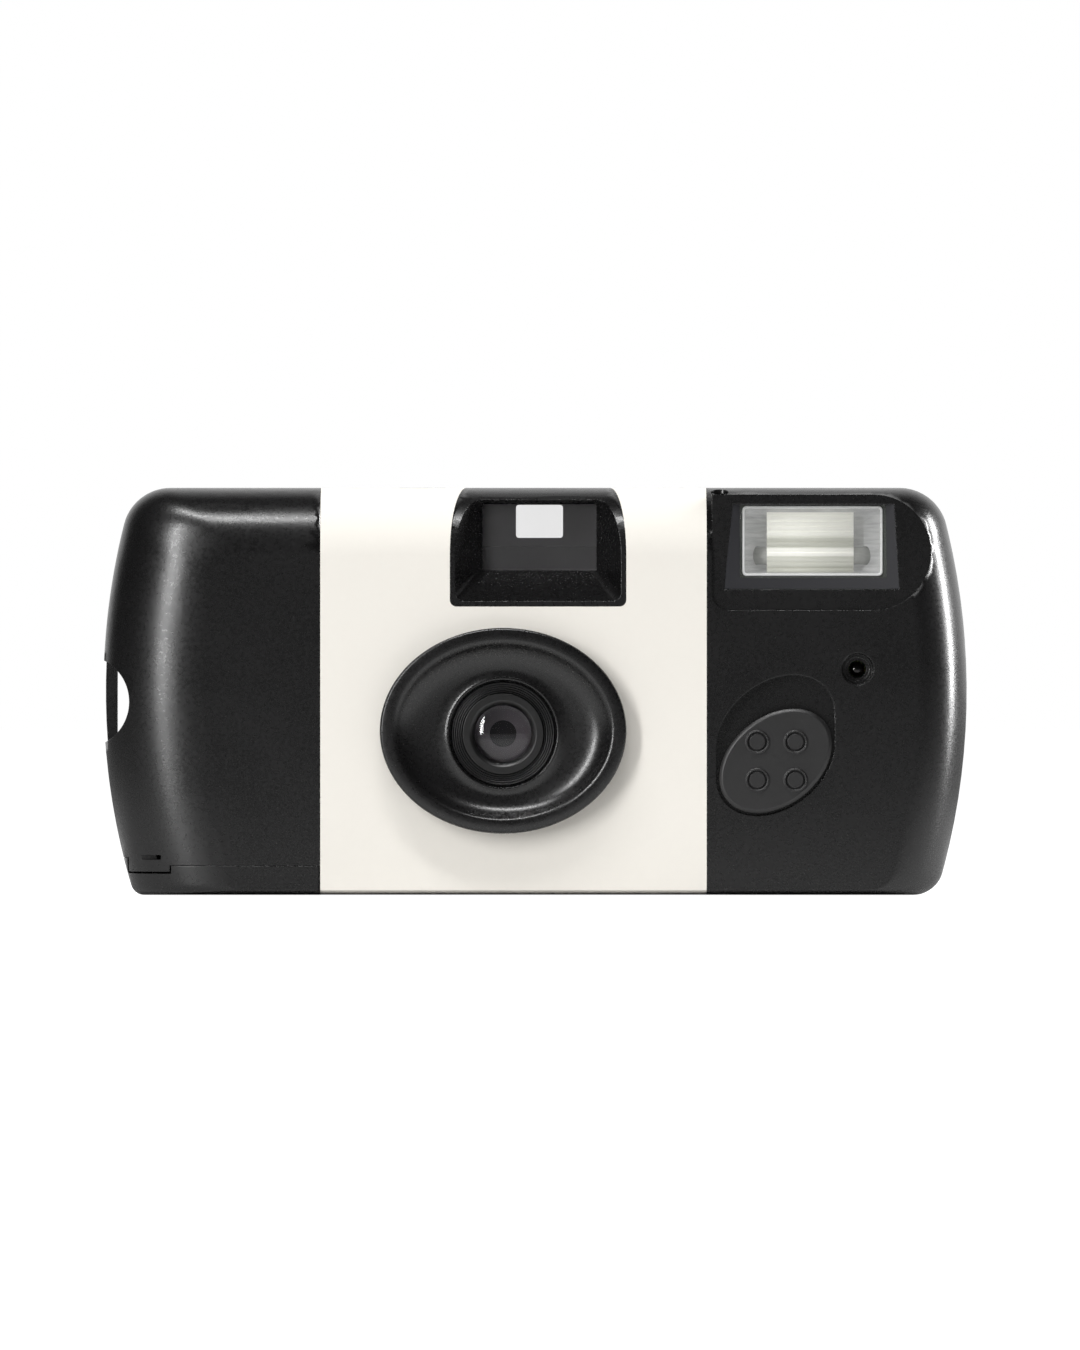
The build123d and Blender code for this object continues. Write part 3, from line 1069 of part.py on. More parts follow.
with BuildPart() as trigger_coil:
    post(51.0, -4.3, (20.0, 30.0), 2.4)
    for rim_z in ((20.0, 20.8), (29.2, 30.0)):
        post(51.0, -4.3, rim_z, 3.05)
save(trigger_coil, "trigger_coil")

with BuildPart() as ready_lamp:
    barrel(SIGHT_X, SIGHT_Z, (-12.2, BOARD_Y), 0.95)
    chamfer(ready_lamp.faces().sort_by(Axis.Y)[0].edges(), 0.4)
save(ready_lamp, "ready_lamp")

with BuildPart() as power_transistor:
    block((47.0, 51.6), (-11.2, -9.4), (20.0, 25.0))
    for lead_x in (47.9, 49.3, 50.7):
        block((lead_x - 0.25, lead_x + 0.25), (-10.5, -10.1), (17.8, 20.0))
        block((lead_x - 0.25, lead_x + 0.25), (-10.5, BOARD_Y), (17.4, 17.9))
save(power_transistor, "power_transistor")

for index, (part_x, part_z) in enumerate(((39.4, 12.0), (43.4, 12.0), (47.4, 11.0)), start=1):
    with BuildPart() as resistor:
        post(part_x, -10.0, (part_z, part_z + 6.0), 1.0)
        for end_z in (part_z - 1.2, part_z + 6.8):
            block((part_x - 0.2, part_x + 0.2), (-10.2, BOARD_Y), (end_z, end_z + 0.4))
        block((part_x - 0.2, part_x + 0.2), (-10.2, -9.8), (part_z - 1.2, part_z + 7.2))
    save(resistor, f"resistor_{index}")

# Battery and its two sprung contacts
with BuildPart() as battery_cell:
    post(BATTERY_X, BATTERY_Y, (BATTERY_BOTTOM_Z, BATTERY_TOP_Z - 1.0), BATTERY_RADIUS)
    chamfer(battery_cell.edges().filter_by(GeomType.CIRCLE), 0.35)
    post(BATTERY_X, BATTERY_Y, (BATTERY_TOP_Z - 1.1, BATTERY_TOP_Z), 1.9)
save(battery_cell, "battery_cell")

with BuildPart() as negative_contact:
    block((43.4, 52.6), (5.4, 12.8), (2.82, 3.2))
    post(BATTERY_X, BATTERY_Y, (3.2, BATTERY_BOTTOM_Z - 0.02), 2.4)
    block((42.64, 43.0), (7.4, 11.0), (2.82, 12.0))
    block((42.64, 43.6), (7.4, 11.0), (2.82, 3.2))
save(negative_contact, "negative_contact")

with BuildPart() as positive_contact:
    block((44.0, 52.8), (6.8, 11.6), (48.8, 49.18))
    block((45.4, 51.4), (7.8, 10.6), (BATTERY_TOP_Z + 0.03, BATTERY_TOP_Z + 0.4))
    block((51.0, 51.4), (7.8, 10.6), (BATTERY_TOP_Z + 0.03, 49.0))
save(positive_contact, "positive_contact")

with BuildPart() as sync_contact:
    block((11.02, 11.4), (BOX_FRONT_Y - 1.2, BOX_FRONT_Y + 1.2), (16.0, 32.0))
    block((9.2, 11.4), (BOX_FRONT_Y - 1.2, BOX_FRONT_Y - 0.9), (16.0, 18.0))
save(sync_contact, "sync_contact")

with BuildPart() as charge_contact:
    block((BOARD_LEFT_X - 0.4, BOARD_LEFT_X), (-9.9, BOARD_Y + 1.0), (18.0, 24.0))
    block((33.6, BOARD_LEFT_X), (-9.9, -9.6), (19.5, 22.5))
save(charge_contact, "charge_contact")

# Flash switch: an oval slide with four ringed grip bumps, and the light pipe it lifts
switch_front_y = FACE_Y - SWITCH_PROUD
recess_floor_y = FACE_Y + SWITCH_RECESS_DEPTH
with BuildPart() as flash_switch:
    with BuildSketch(facing(switch_front_y)):
        with Locations((SWITCH_X, SWITCH_Z)):
            Ellipse(*SWITCH_RADII, rotation=SWITCH_TILT)
    extrude(amount=switch_front_y - recess_floor_y + SEAT_GAP)
    chamfer(flash_switch.faces().sort_by(Axis.Y)[0].edges(), 0.45)
    for bump_x in (-BUMP_PITCH / 2, BUMP_PITCH / 2):
        for bump_z in (-BUMP_PITCH / 2, BUMP_PITCH / 2):
            bump = (SWITCH_X + 0.1 + bump_x, SWITCH_Z + bump_z)
            barrel(*bump, (switch_front_y - 0.25, switch_front_y + 0.2), 1.6)
            with BuildSketch(facing(switch_front_y - 0.25)):
                with Locations(bump):
                    Circle(1.3)
                    Circle(1.05, mode=Mode.SUBTRACT)
            extrude(amount=-0.3, mode=Mode.SUBTRACT)
    block((31.5, 33.2), (recess_floor_y - 0.3, -10.2), (17.1, 19.2))
    block((23.8, 34.4), (-11.1, -10.2), (15.0, 21.5))
    block((23.8, 26.0), (-10.2, PIPE_Y - 1.05), (15.0, 21.5))
save(flash_switch, "flash_switch")

with BuildPart() as ready_light_pipe:
    post(PIPE_X, PIPE_Y, (15.0, 54.2), PIPE_RADIUS)
    block((PIPE_X - 1.0, PIPE_X + 1.0), (PIPE_Y - 1.0, PIPE_Y + 1.0), (15.0, 21.5))
save(ready_light_pipe, "ready_light_pipe")
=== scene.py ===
"""Looks for a single-use film camera with a flash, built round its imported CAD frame.

The file is laid out as an add-on: each operator builds one piece or one group of like pieces,
and main() calls them in order. Shapes are written in millimetres and stand in the scene in metres.
"""

import json
from math import cos, pi, radians, sin

import bmesh
import bpy
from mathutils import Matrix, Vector


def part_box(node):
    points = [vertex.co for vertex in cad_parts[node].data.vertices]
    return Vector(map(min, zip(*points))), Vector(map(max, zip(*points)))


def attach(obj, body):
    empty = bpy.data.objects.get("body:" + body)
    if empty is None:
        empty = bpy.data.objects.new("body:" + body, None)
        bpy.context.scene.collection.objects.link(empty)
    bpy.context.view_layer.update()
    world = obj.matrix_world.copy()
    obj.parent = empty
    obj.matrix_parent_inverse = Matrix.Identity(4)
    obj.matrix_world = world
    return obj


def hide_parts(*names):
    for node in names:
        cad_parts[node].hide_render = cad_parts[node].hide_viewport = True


bl_info = {
    "name": "Single-use film camera",
    "version": (1, 0, 0),
    "blender": (4, 5, 0),
    "location": "3D View > Sidebar > Film camera",
    "description": "Materials, smoothed pieces and a studio for a single-use film camera",
    "category": "Add Mesh",
}

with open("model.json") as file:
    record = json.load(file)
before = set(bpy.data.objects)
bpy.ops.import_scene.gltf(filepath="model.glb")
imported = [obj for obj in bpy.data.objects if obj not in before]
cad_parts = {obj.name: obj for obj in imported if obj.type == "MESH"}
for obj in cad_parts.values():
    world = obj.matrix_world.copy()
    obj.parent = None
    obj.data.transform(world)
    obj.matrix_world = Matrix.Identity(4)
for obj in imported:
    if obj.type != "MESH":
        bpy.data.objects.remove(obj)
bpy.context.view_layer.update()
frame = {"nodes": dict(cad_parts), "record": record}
MM = 0.001

# Meshes: which angles stay sharp, what counts as one flat region, and steps round a corner
SHARP_ANGLE = radians(32)
COVER_SHARP_ANGLE = radians(20)
TRIM_SHARP_ANGLE = radians(35)
DISH_SHARP_ANGLE = radians(50)
MERGE_DISTANCE = 0.002 * MM
SAME_PLANE = 0.99999
FLAT_FACES = 4
FLAT_AREA = 3 * MM * MM
CORNER_STEPS = 6

# The lens and its oval surround, in millimetres
LENS_X = -4.3
LENS_Z = 21.8
RIDGES_Y = -14.2
DISH_CENTRE_Z = 22.2
DISH_REACH = (16.7, 13.95)
DISH_FOOT_Y = -13.75
DISH_STEPS = 192
# The ovals' centre moves to the lens's while their half-width shrinks by the second length
CENTRE_SHIFT_START = 14.6
CENTRE_SHIFT_RUN = 6.0
# The lens surround from its foot inwards: half-width, half-height and place along Y
DISH_PROFILE = (
    (16.60, 13.85, -13.90),
    (16.56, 13.81, -16.70),
    (16.44, 13.69, -16.92),
    (16.22, 13.47, -17.00),
    (15.02, 12.32, -17.00),
    (14.75, 12.05, -16.95),
    (14.50, 11.83, -16.80),
    (14.25, 11.62, -16.56),
    (13.95, 11.38, -16.25),
    (13.60, 11.12, -15.95),
    (13.15, 10.80, -15.65),
    (12.60, 10.42, -15.38),
    (11.90, 9.98, -15.16),
    (11.00, 9.45, -15.00),
    (9.60, 8.65, -14.88),
    (7.86, 7.80, -14.80),
    (7.66, 7.66, -14.90),
    (7.46, 7.46, -14.98),
    (7.28, 7.28, -14.90),
    (7.20, 7.20, -14.60),
    (7.15, 7.15, -12.60),
)

# The finder, in millimetres: outlines are left, right, bottom, top and corner radius
EYEPIECE_CORNERS = ((-3.1, 13.0, 47.9), (4.3, 13.6, 53.3))
EYEPIECE_BEVEL = 0.1
MASK_OUTLINE = (-8.6, 9.9, 44.0, 53.0, 0.2)
MASK_OPENING = (-2.6, 3.8, 48.4, 52.9, 0.4)
MASK_FRONT_Y = 12.6
MASK_BACK_Y = 12.98
PANE_THICKNESS = 0.9
PANE_BEVEL = 0.2

# The flash, in millimetres
REFLECTOR_FLANGE_Y = -11.74
BARS_X = 37.1
BARS_Y = -9.4
BAR_FULLNESS = 0.56
FACING_FRONT = 0.9
RIM_SIDES = (28.05, 46.65, 43.2, 52.3)
# Each loop of the rim: inset from its sides, place along Y and corner radius
RIM_LOOPS = ((-0.16, -12.25, 0.6), (-0.12, -12.45, 0.56), (0.12, -12.45, 0.4), (0.18, -12.2, 0.35))
BEZEL_FRONT_Y = -13.5
BEZEL_BACK_Y = -12.98
BEZEL_FRONT = ((49.0, 41.3), (48.3, 52.72), (26.4, 52.72), (25.5, 41.3))
BEZEL_BACK = ((47.35, 42.75), (47.25, 52.62), (27.55, 52.62), (27.55, 42.75))
# Heights of the white centre's bands of painted light: where each starts or has its middle, and how
# it fades
LOW_BAND_START = (43.9, 44.5)
LOW_BAND_MIDDLE = 45.4
LOW_BAND_FADE = (1.2, 0.4)
TUBE_BAND_MIDDLE = 46.3
TUBE_BAND_FADE = (0.75, 0.35)
HIGH_BAND_START = (48.0, 48.6)

# Finishes that several materials share
MOULDED_IOR = 1.68
CLEAR_IOR = 1.49
EDGE_SOFTNESS = 0.12 * MM

# Colours of the plain pieces
INNER_BLACK = (0.006, 0.006, 0.006)
RETAINER_BLACK = (0.005, 0.005, 0.005)
CAP_BLACK = (0.012, 0.012, 0.012)
WHEEL_BLACK = (0.009, 0.009, 0.009)
BUTTON_BLACK = (0.011, 0.011, 0.011)
SWITCH_BLACK = (0.0125, 0.0122, 0.0125)
SLEEVE_BLACK = (0.012, 0.012, 0.014)
FLANGE_GREY = (0.03, 0.034, 0.028)
# The aperture plate's grey is partly its own and partly painted reflection: tinted purple and
# lightened to stand for the lens's purple-grey reflection
STOP_GREY_PAINTED_REFLECTION = (0.1, 0.087, 0.093)
FINDER_GREY = (0.1, 0.094, 0.097)
CORE_GREY = (0.05, 0.045, 0.042)
JACKET_GREY = (0.18, 0.18, 0.19)
RIM_WHITE = (0.93, 0.94, 0.93)
DIAL_WHITE = (0.72, 0.72, 0.7)
WHEEL_WHITE = (0.7, 0.7, 0.68)
FILM_BROWN = (0.09, 0.065, 0.06)
BOARD_GREEN = (0.025, 0.14, 0.06)
RESISTOR_TAN = (0.5, 0.36, 0.2)
STEEL = (0.42, 0.42, 0.43)
DARK_STEEL = (0.035, 0.033, 0.035)
CASSETTE_STEEL = (0.35, 0.35, 0.36)
CONTACT_METAL = (0.62, 0.6, 0.55)
COPPER = (0.55, 0.2, 0.08)
LENS_TINT = (0.93, 0.92, 0.95)
COUNTER_TINT = (0.96, 0.97, 0.97)
PIPE_TINT = (0.95, 0.9, 0.86)
LAMP_TINT = (0.9, 0.45, 0.25)
FINDER_TINT = (0.5, 0.49, 0.5)
WINDOW_TINT = (0.55, 0.58, 0.54)
TUBE_TINT = (0.62, 0.62, 0.6)

# Softboxes: place, width and height in metres, and power in watts
SOFTBOXES = {
    "left_strip": ((-0.6, -0.8, 0.36), (0.11, 0.8), 6.03),
    "overhead": ((-0.12, -0.4, 1.05), (0.7, 0.11), 5.36),
    "right_rim": ((0.95, 0.25, 0.34), (0.11, 0.8), 14.74),
}
LAMP_AIM = (0, 0, 0.03)

# Where the world behind the object turns white, as the Y part of a direction
WHITE_WALL = (0.4, 0.9)

# The floor, in metres: a pale sheet under the camera runs out into a greyer floor
FLOOR_HALF_WIDTH = 6.0
FLOOR_HEIGHT = -0.0001
SHEET_EDGE = (0.09, 0.2)
SHEET_PALE = (0.6, 0.6, 0.6)
FLOOR_GREY = (0.2, 0.2, 0.2)
FLOOR_GLOW = 0.97

# The viewing camera: its place, in metres, and its sensor, in millimetres
VIEW_X = 0.00067
VIEW_HEIGHT = 0.0297
COVER_FRONT_Y = -0.014
SENSOR_WIDTH = 36.0


class CameraLooks(bpy.types.PropertyGroup):
    """Colours, surface values and counts that a user would change."""

    label_colour: bpy.props.FloatVectorProperty(
        name="Label colour",
        description="Colour of the bare card band",
        subtype="COLOR",
        size=3,
        min=0,
        max=1,
        default=(0.913, 0.879, 0.812),
    )
    plastic_colour: bpy.props.FloatVectorProperty(
        name="Housing colour",
        description="Colour of the moulded housing",
        subtype="COLOR",
        size=3,
        min=0,
        max=1,
        default=(0.0042, 0.004, 0.0042),
    )
    plastic_roughness: bpy.props.FloatProperty(
        name="Housing roughness",
        description="How dull the housing's fine texture is",
        subtype="FACTOR",
        min=0,
        max=1,
        default=0.28,
    )
    grain_size: bpy.props.FloatProperty(
        name="Grain size",
        description="Size of the housing's moulded grain",
        unit="LENGTH",
        default=0.00032,
    )
    grain_depth: bpy.props.FloatProperty(
        name="Grain depth",
        description="Height of the housing's moulded grain",
        unit="LENGTH",
        default=0.0000065,
    )
    ridge_count: bpy.props.IntProperty(
        name="Lens ridges",
        description="Number of rings in front of the lens",
        min=2,
        default=10,
    )
    bar_count: bpy.props.IntProperty(
        name="Flash bars",
        description="Number of level bars across the flash",
        min=1,
        default=12,
    )


class StudioLooks(bpy.types.PropertyGroup):
    """Camera distance, background and light levels."""

    distance: bpy.props.FloatProperty(
        name="Camera distance",
        description="How far the viewing camera stands from the front cover",
        unit="LENGTH",
        default=2.0,
    )
    view_width: bpy.props.FloatProperty(
        name="View width",
        description="Width of the picture at the front cover",
        unit="LENGTH",
        default=0.1453,
    )
    surround: bpy.props.FloatVectorProperty(
        name="Surround colour",
        description="Colour of the light that comes from all round",
        subtype="COLOR",
        size=3,
        min=0,
        max=1,
        default=(1.0, 1.0, 1.0),
    )
    fill_level: bpy.props.FloatProperty(
        name="Fill level",
        description="Strength of the surround on matt surfaces, above its strength in reflections",
        min=0,
        default=0.32,
    )
    gloss_level: bpy.props.FloatProperty(
        name="Reflection level",
        description="Strength of the surround in reflections",
        min=0,
        default=0.04,
    )
    lamp_level: bpy.props.FloatProperty(
        name="Lamp level",
        description="Multiplies the power of every softbox",
        min=0,
        default=1.0,
    )


class Value:
    """A shader value whose arithmetic adds math nodes."""

    def __init__(self, graph, socket):
        self.graph = graph
        self.socket = socket

    def math(self, operation, *others):
        """The result of a math node with this value as its first input."""
        return self.graph.math(operation, self, *others)

    def __add__(self, other):
        return self.math("ADD", other)

    def __radd__(self, other):
        return self.graph.math("ADD", other, self)

    def __sub__(self, other):
        return self.math("SUBTRACT", other)

    def __rsub__(self, other):
        return self.graph.math("SUBTRACT", other, self)

    def __mul__(self, other):
        return self.math("MULTIPLY", other)

    def __rmul__(self, other):
        return self.graph.math("MULTIPLY", other, self)

    def __abs__(self):
        return self.math("ABSOLUTE")

    def clamp(self, low, high):
        """This value held between two limits."""
        return self.math("MAXIMUM", low).math("MINIMUM", high)

    def steps(self, start, end):
        """A smooth run from 0 at the start to 1 at the end, where either may be the larger."""
        return self.graph.node(
            "ShaderNodeMapRange",
            output="Result",
            settings={"interpolation_type": "SMOOTHSTEP"},
            Value=self,
            From_Min=start,
            From_Max=end,
        )


class Graph:
    """A material's node tree with a few shorthands."""

    def __init__(self, name):
        self.material = bpy.data.materials.new(name)
        self.material.use_nodes = True
        self.tree = self.material.node_tree
        self.tree.nodes.clear()
        self.output = self.tree.nodes.new("ShaderNodeOutputMaterial")

    def put(self, target, value):
        """Feed a socket from a value, a socket or a constant."""
        if isinstance(value, Value):
            self.tree.links.new(value.socket, target)
        elif isinstance(value, bpy.types.NodeSocket):
            self.tree.links.new(value, target)
        elif isinstance(value, tuple) and len(value) == 3 and len(target.default_value) == 4:
            target.default_value = (*value, 1.0)
        else:
            target.default_value = value

    def node(self, kind, output=0, settings=None, **inputs):
        """Add a node, set its options and inputs, and return one of its outputs as a value."""
        node = self.tree.nodes.new(kind)
        for key, setting in (settings or {}).items():
            setattr(node, key, setting)
        for key, value in inputs.items():
            self.put(node.inputs[key.replace("_", " ")], value)
        return Value(self, node.outputs[output])

    def numbered(self, kind, inputs, output=0, settings=None):
        """Add a node whose sockets share names, and feed them by number."""
        result = self.node(kind, output, settings)
        for number, value in inputs.items():
            self.put(result.socket.node.inputs[number], value)
        return result

    def math(self, operation, *operands):
        """The result of a math node."""
        settings = {"operation": operation}
        return self.numbered("ShaderNodeMath", dict(enumerate(operands)), settings=settings)

    def vector_math(self, operation, output, *operands):
        """A result of a vector math node."""
        settings = {"operation": operation}
        return self.numbered("ShaderNodeVectorMath", dict(enumerate(operands)), output, settings)

    def position(self):
        """The object coordinates."""
        return self.node("ShaderNodeTexCoord", output="Object")

    def noise(self, scale, detail=2.0, roughness=0.5):
        """Smooth random values over the object, from 0 to 1."""
        return self.node(
            "ShaderNodeTexNoise",
            Vector=self.position(),
            Scale=scale,
            Detail=detail,
            Roughness=roughness,
        )

    def height(self):
        """The height on the object, in metres."""
        return self.node("ShaderNodeSeparateXYZ", output="Z", Vector=self.position())

    def stretched(self, factors):
        """Object coordinates scaled by axis, so that a pattern runs out into lines."""
        return self.vector_math("MULTIPLY", "Vector", self.position(), factors)

    def tinted(self, share, low, high):
        """A colour that runs between two others by a value."""
        # Of the mix node's inputs 0 is the factor, and 6, 7 and output 2 are for colours
        inputs = {0: share, 6: low, 7: high}
        return self.numbered("ShaderNodeMix", inputs, output=2, settings={"data_type": "RGBA"})

    def ray(self, kind):
        """Whether the light path is of a kind, as 1 or 0."""
        return self.node("ShaderNodeLightPath", output=f"Is {kind} Ray")

    def surface(self, **inputs):
        """Finish the material with one Principled shader."""
        shader = self.node("ShaderNodeBsdfPrincipled", **inputs)
        self.put(self.output.inputs["Surface"], shader)
        return self.material


def scaled(colour, factor):
    """A colour made lighter or darker."""
    return tuple(min(1.0, part * factor) for part in colour)


def plastic(name, colour, roughness=0.4, grain_depth=0.003 * MM, grain_size=0.3 * MM):
    """Moulded opaque plastic with soft edges, a fine grain and a slightly uneven gloss."""
    graph = Graph(name)
    patches = graph.noise(90.0, detail=3.0)
    fine = graph.noise(2200.0, detail=2.0)
    gloss = (patches - 0.5) * 0.10 + (fine - 0.5) * 0.16 + roughness
    tint = graph.tinted(patches, scaled(colour, 0.85), scaled(colour, 1.15))
    rounded = graph.node("ShaderNodeBevel", Radius=EDGE_SOFTNESS, settings={"samples": 6})
    grain = graph.noise(1 / grain_size, detail=3.0, roughness=0.6)
    bump = graph.node(
        "ShaderNodeBump", Height=grain, Distance=grain_depth, Strength=1.0, Normal=rounded
    )
    return graph.surface(Base_Color=tint, Roughness=gloss, IOR=MOULDED_IOR, Normal=bump)


def card(name, colour):
    """Bare card: matt, with a faint fibre grain."""
    graph = Graph(name)
    fibre = graph.noise(1400.0, detail=5.0, roughness=0.65)
    bump = graph.node("ShaderNodeBump", Height=fibre, Distance=0.004 * MM, Strength=0.6)
    tint = graph.tinted(fibre, scaled(colour, 0.985), scaled(colour, 1.01))
    return graph.surface(Base_Color=tint, Roughness=fibre * 0.1 + 0.55, Normal=bump)


def clear(name, colour):
    """Clear moulded plastic or glass."""
    graph = Graph(name)
    swirl = graph.noise(160.0, detail=1.0)
    return graph.surface(
        Base_Color=colour, Roughness=swirl * 0.02 + 0.02, Transmission_Weight=1.0, IOR=CLEAR_IOR
    )


def pane(name, colour, alpha):
    """A thin clear pane: a share of it is seen, and the rest is seen through."""
    graph = Graph(name)
    swirl = graph.noise(160.0, detail=1.0)
    return graph.surface(
        Base_Color=colour, Roughness=swirl * 0.03 + 0.02, Alpha=swirl * 0.04 + alpha
    )


def metal(name, colour, roughness):
    """Plain metal with fine marks in its gloss."""
    graph = Graph(name)
    marks = graph.noise(900.0, detail=2.0)
    bump = graph.node("ShaderNodeBump", Height=marks, Distance=0.002 * MM, Strength=0.5)
    return graph.surface(
        Base_Color=colour, Metallic=1.0, Roughness=(marks - 0.5) * 0.12 + roughness, Normal=bump
    )


def banded_white_painted_glow(name):
    """The flash's white centre, painted as light: lighter and darker cream bands up its height, and
    a painted glow in the same colours.
    """
    graph = Graph(name)
    height = graph.height() * (1 / MM)
    near_low_band = abs(height - LOW_BAND_MIDDLE).steps(*LOW_BAND_FADE)
    low_band = height.steps(*LOW_BAND_START) * near_low_band
    tube_band = abs(height - TUBE_BAND_MIDDLE).steps(*TUBE_BAND_FADE)
    high_band = height.steps(*HIGH_BAND_START)
    lines = graph.node(
        "ShaderNodeTexNoise", Vector=graph.stretched((0.02, 0.02, 1.0)), Scale=5200.0
    )
    painted_light_share = (low_band * 0.25 + tube_band + high_band * 0.72).clamp(0.0, 1.0)
    share = painted_light_share * 0.75 + lines * 0.3
    # Painted light: the bands brighten the centre, and the emission makes it glow though it is no
    # lamp
    tint = graph.tinted(share, (0.42, 0.42, 0.36), (1.0, 0.99, 0.93))
    return graph.surface(
        Base_Color=tint, Roughness=lines * 0.2 + 0.3, Emission_Color=tint, Emission_Strength=0.32
    )


def streaked_grey_painted_glow(name):
    """The reflector's walls: satin grey with fine lines running to the tube, lightened and given a
    painted glow so that they look lit.
    """
    graph = Graph(name)
    lines = graph.node(
        "ShaderNodeTexNoise", Vector=graph.stretched((0.12, 0.05, 1.0)), Scale=2600.0, Detail=3.0
    )
    tint = graph.tinted(lines, (0.16, 0.16, 0.165), (0.52, 0.52, 0.52))
    # Painted light: the light grey and the emission stand in for the light on the walls, which are
    # no lamp
    return graph.surface(
        Base_Color=tint, Roughness=lines * 0.2 + 0.3, Emission_Color=tint, Emission_Strength=0.35
    )


def body_of(node):
    """The CAD body that a node belongs to."""
    for body, members in frame["record"]["behaviour"]["bodies"].items():
        if node in members:
            return body
    raise ValueError(f"{node} is in no body")


def flat_fields(form):
    """For each vertex on flat regions of a form, the normals of those regions."""
    fields = {}
    done = set()
    for seed in form.faces:
        if seed in done:
            continue
        region = [seed]
        done.add(seed)
        for face in region:
            for edge in face.edges:
                for other in edge.link_faces:
                    if other not in done and other.normal.dot(seed.normal) > SAME_PLANE:
                        done.add(other)
                        region.append(other)
        area = sum(face.calc_area() for face in region)
        if len(region) >= FLAT_FACES and area > FLAT_AREA:
            for vert in {vert for face in region for vert in face.verts}:
                fields.setdefault(vert.index, []).append(seed.normal.copy())
    return fields


def smoothed(mesh, angle=SHARP_ANGLE, fields=None):
    """Smooth shading that keeps sharp edges sharp and flat regions flat."""
    mesh.shade_smooth()
    mesh.set_sharp_from_angle(angle=angle)
    if not fields:
        return
    normals = [corner.vector.copy() for corner in mesh.corner_normals]
    for face in mesh.polygons:
        for corner in face.loop_indices:
            regions = fields.get(mesh.loops[corner].vertex_index, ())
            near = max(regions, key=face.normal.dot, default=None)
            if near is not None and near.dot(face.normal) > cos(angle):
                normals[corner] = near
    mesh.normals_split_custom_set(normals)


def mesh_from(name, form, angle=SHARP_ANGLE):
    """A smoothly shaded mesh from a form, which is used up."""
    mesh = bpy.data.meshes.new(name)
    form.to_mesh(mesh)
    form.free()
    smoothed(mesh, angle)
    return mesh


def joined(loops):
    """A form of closed loops of points, in millimetres, joined by strips of faces."""
    form = bmesh.new()
    rings = [[form.verts.new((x * MM, y * MM, z * MM)) for x, y, z in loop] for loop in loops]
    for outer, inner in zip(rings, rings[1:]):
        for step in range(len(outer)):
            after = (step + 1) % len(outer)
            form.faces.new((outer[step], outer[after], inner[after], inner[step]))
    return form


def add_piece(name, mesh, material, stands_for=()):
    """Put a finished mesh on the camera's body, and hide the CAD nodes that it stands for."""
    mesh.materials.append(material)
    piece = bpy.data.objects.new(name, mesh)
    bpy.context.scene.collection.objects.link(piece)
    if stands_for:
        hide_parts(*stands_for)
    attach(piece, "camera")


def shaded_copy(node, angle=SHARP_ANGLE, without=None):
    """A copy of a CAD node's mesh, joined up and smoothly shaded, that stands for the node."""
    mesh = frame["nodes"][node].data.copy()
    mesh.name = node + "_shaded"
    mesh.materials.clear()
    form = bmesh.new()
    form.from_mesh(mesh)
    bmesh.ops.remove_doubles(form, verts=form.verts, dist=MERGE_DISTANCE)
    if without:
        doomed = [face for face in form.faces if without(face)]
        bmesh.ops.delete(form, geom=doomed, context="FACES")
    form.normal_update()
    form.verts.index_update()
    fields = flat_fields(form)
    form.to_mesh(mesh)
    form.free()
    for layer in list(mesh.uv_layers):
        mesh.uv_layers.remove(layer)
    smoothed(mesh, angle, fields)
    piece = bpy.data.objects.new(node + "_shaded", mesh)
    bpy.context.scene.collection.objects.link(piece)
    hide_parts(node)
    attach(piece, body_of(node))
    return piece


def dress(material, *nodes):
    """Give CAD nodes smooth shading and a finish."""
    for node in nodes:
        shaded_copy(node).data.materials.append(material)


def slab(name, corners, bevel, material, stands_for):
    """A clear box with rounded edges, from its two corners in millimetres."""
    low, high = corners
    form = bmesh.new()
    bmesh.ops.create_cube(form, size=1)
    for vert in form.verts:
        vert.co = [
            (start + end) / 2 * MM + part * (end - start) * MM
            for part, start, end in zip(vert.co, low, high)
        ]
    bmesh.ops.bevel(
        form, geom=form.edges, offset=bevel * MM, segments=3, affect="EDGES", profile=0.5
    )
    add_piece(name, mesh_from(name, form), material, (stands_for,))


def rounded_outline(left, right, bottom, top, radius):
    """Points round a rectangle with rounded corners, in millimetres."""
    points = []
    corners = ((right, top, 0), (left, top, 1), (left, bottom, 2), (right, bottom, 3))
    for corner_x, corner_z, quarter in corners:
        middle_x = corner_x - radius if quarter in (0, 3) else corner_x + radius
        middle_z = corner_z - radius if quarter in (0, 1) else corner_z + radius
        for step in range(CORNER_STEPS + 1):
            turn = (quarter + step / CORNER_STEPS) * pi / 2
            points.append((middle_x + radius * cos(turn), middle_z + radius * sin(turn)))
    return points


def at_depth(outline, y):
    """An outline's points with their place along Y."""
    return [(x, y, z) for x, z in outline]


def trim_mesh(name, loops):
    """A strip of trim through loops of points, whose first face looks to the front."""
    form = joined(loops)
    bmesh.ops.recalc_face_normals(form, faces=form.faces)
    form.normal_update()
    form.faces.ensure_lookup_table()
    if form.faces[0].normal.y > 0.01:
        bmesh.ops.reverse_faces(form, faces=form.faces)
    return mesh_from(name, form, TRIM_SHARP_ANGLE)


def in_dish(face):
    """Whether a face of the front cover belongs to its lens surround."""
    middle = face.calc_center_median()
    across = (middle.x / MM - LENS_X) / DISH_REACH[0]
    up = (middle.z / MM - DISH_CENTRE_Z) / DISH_REACH[1]
    return across**2 + up**2 < 1 and middle.y / MM < DISH_FOOT_Y


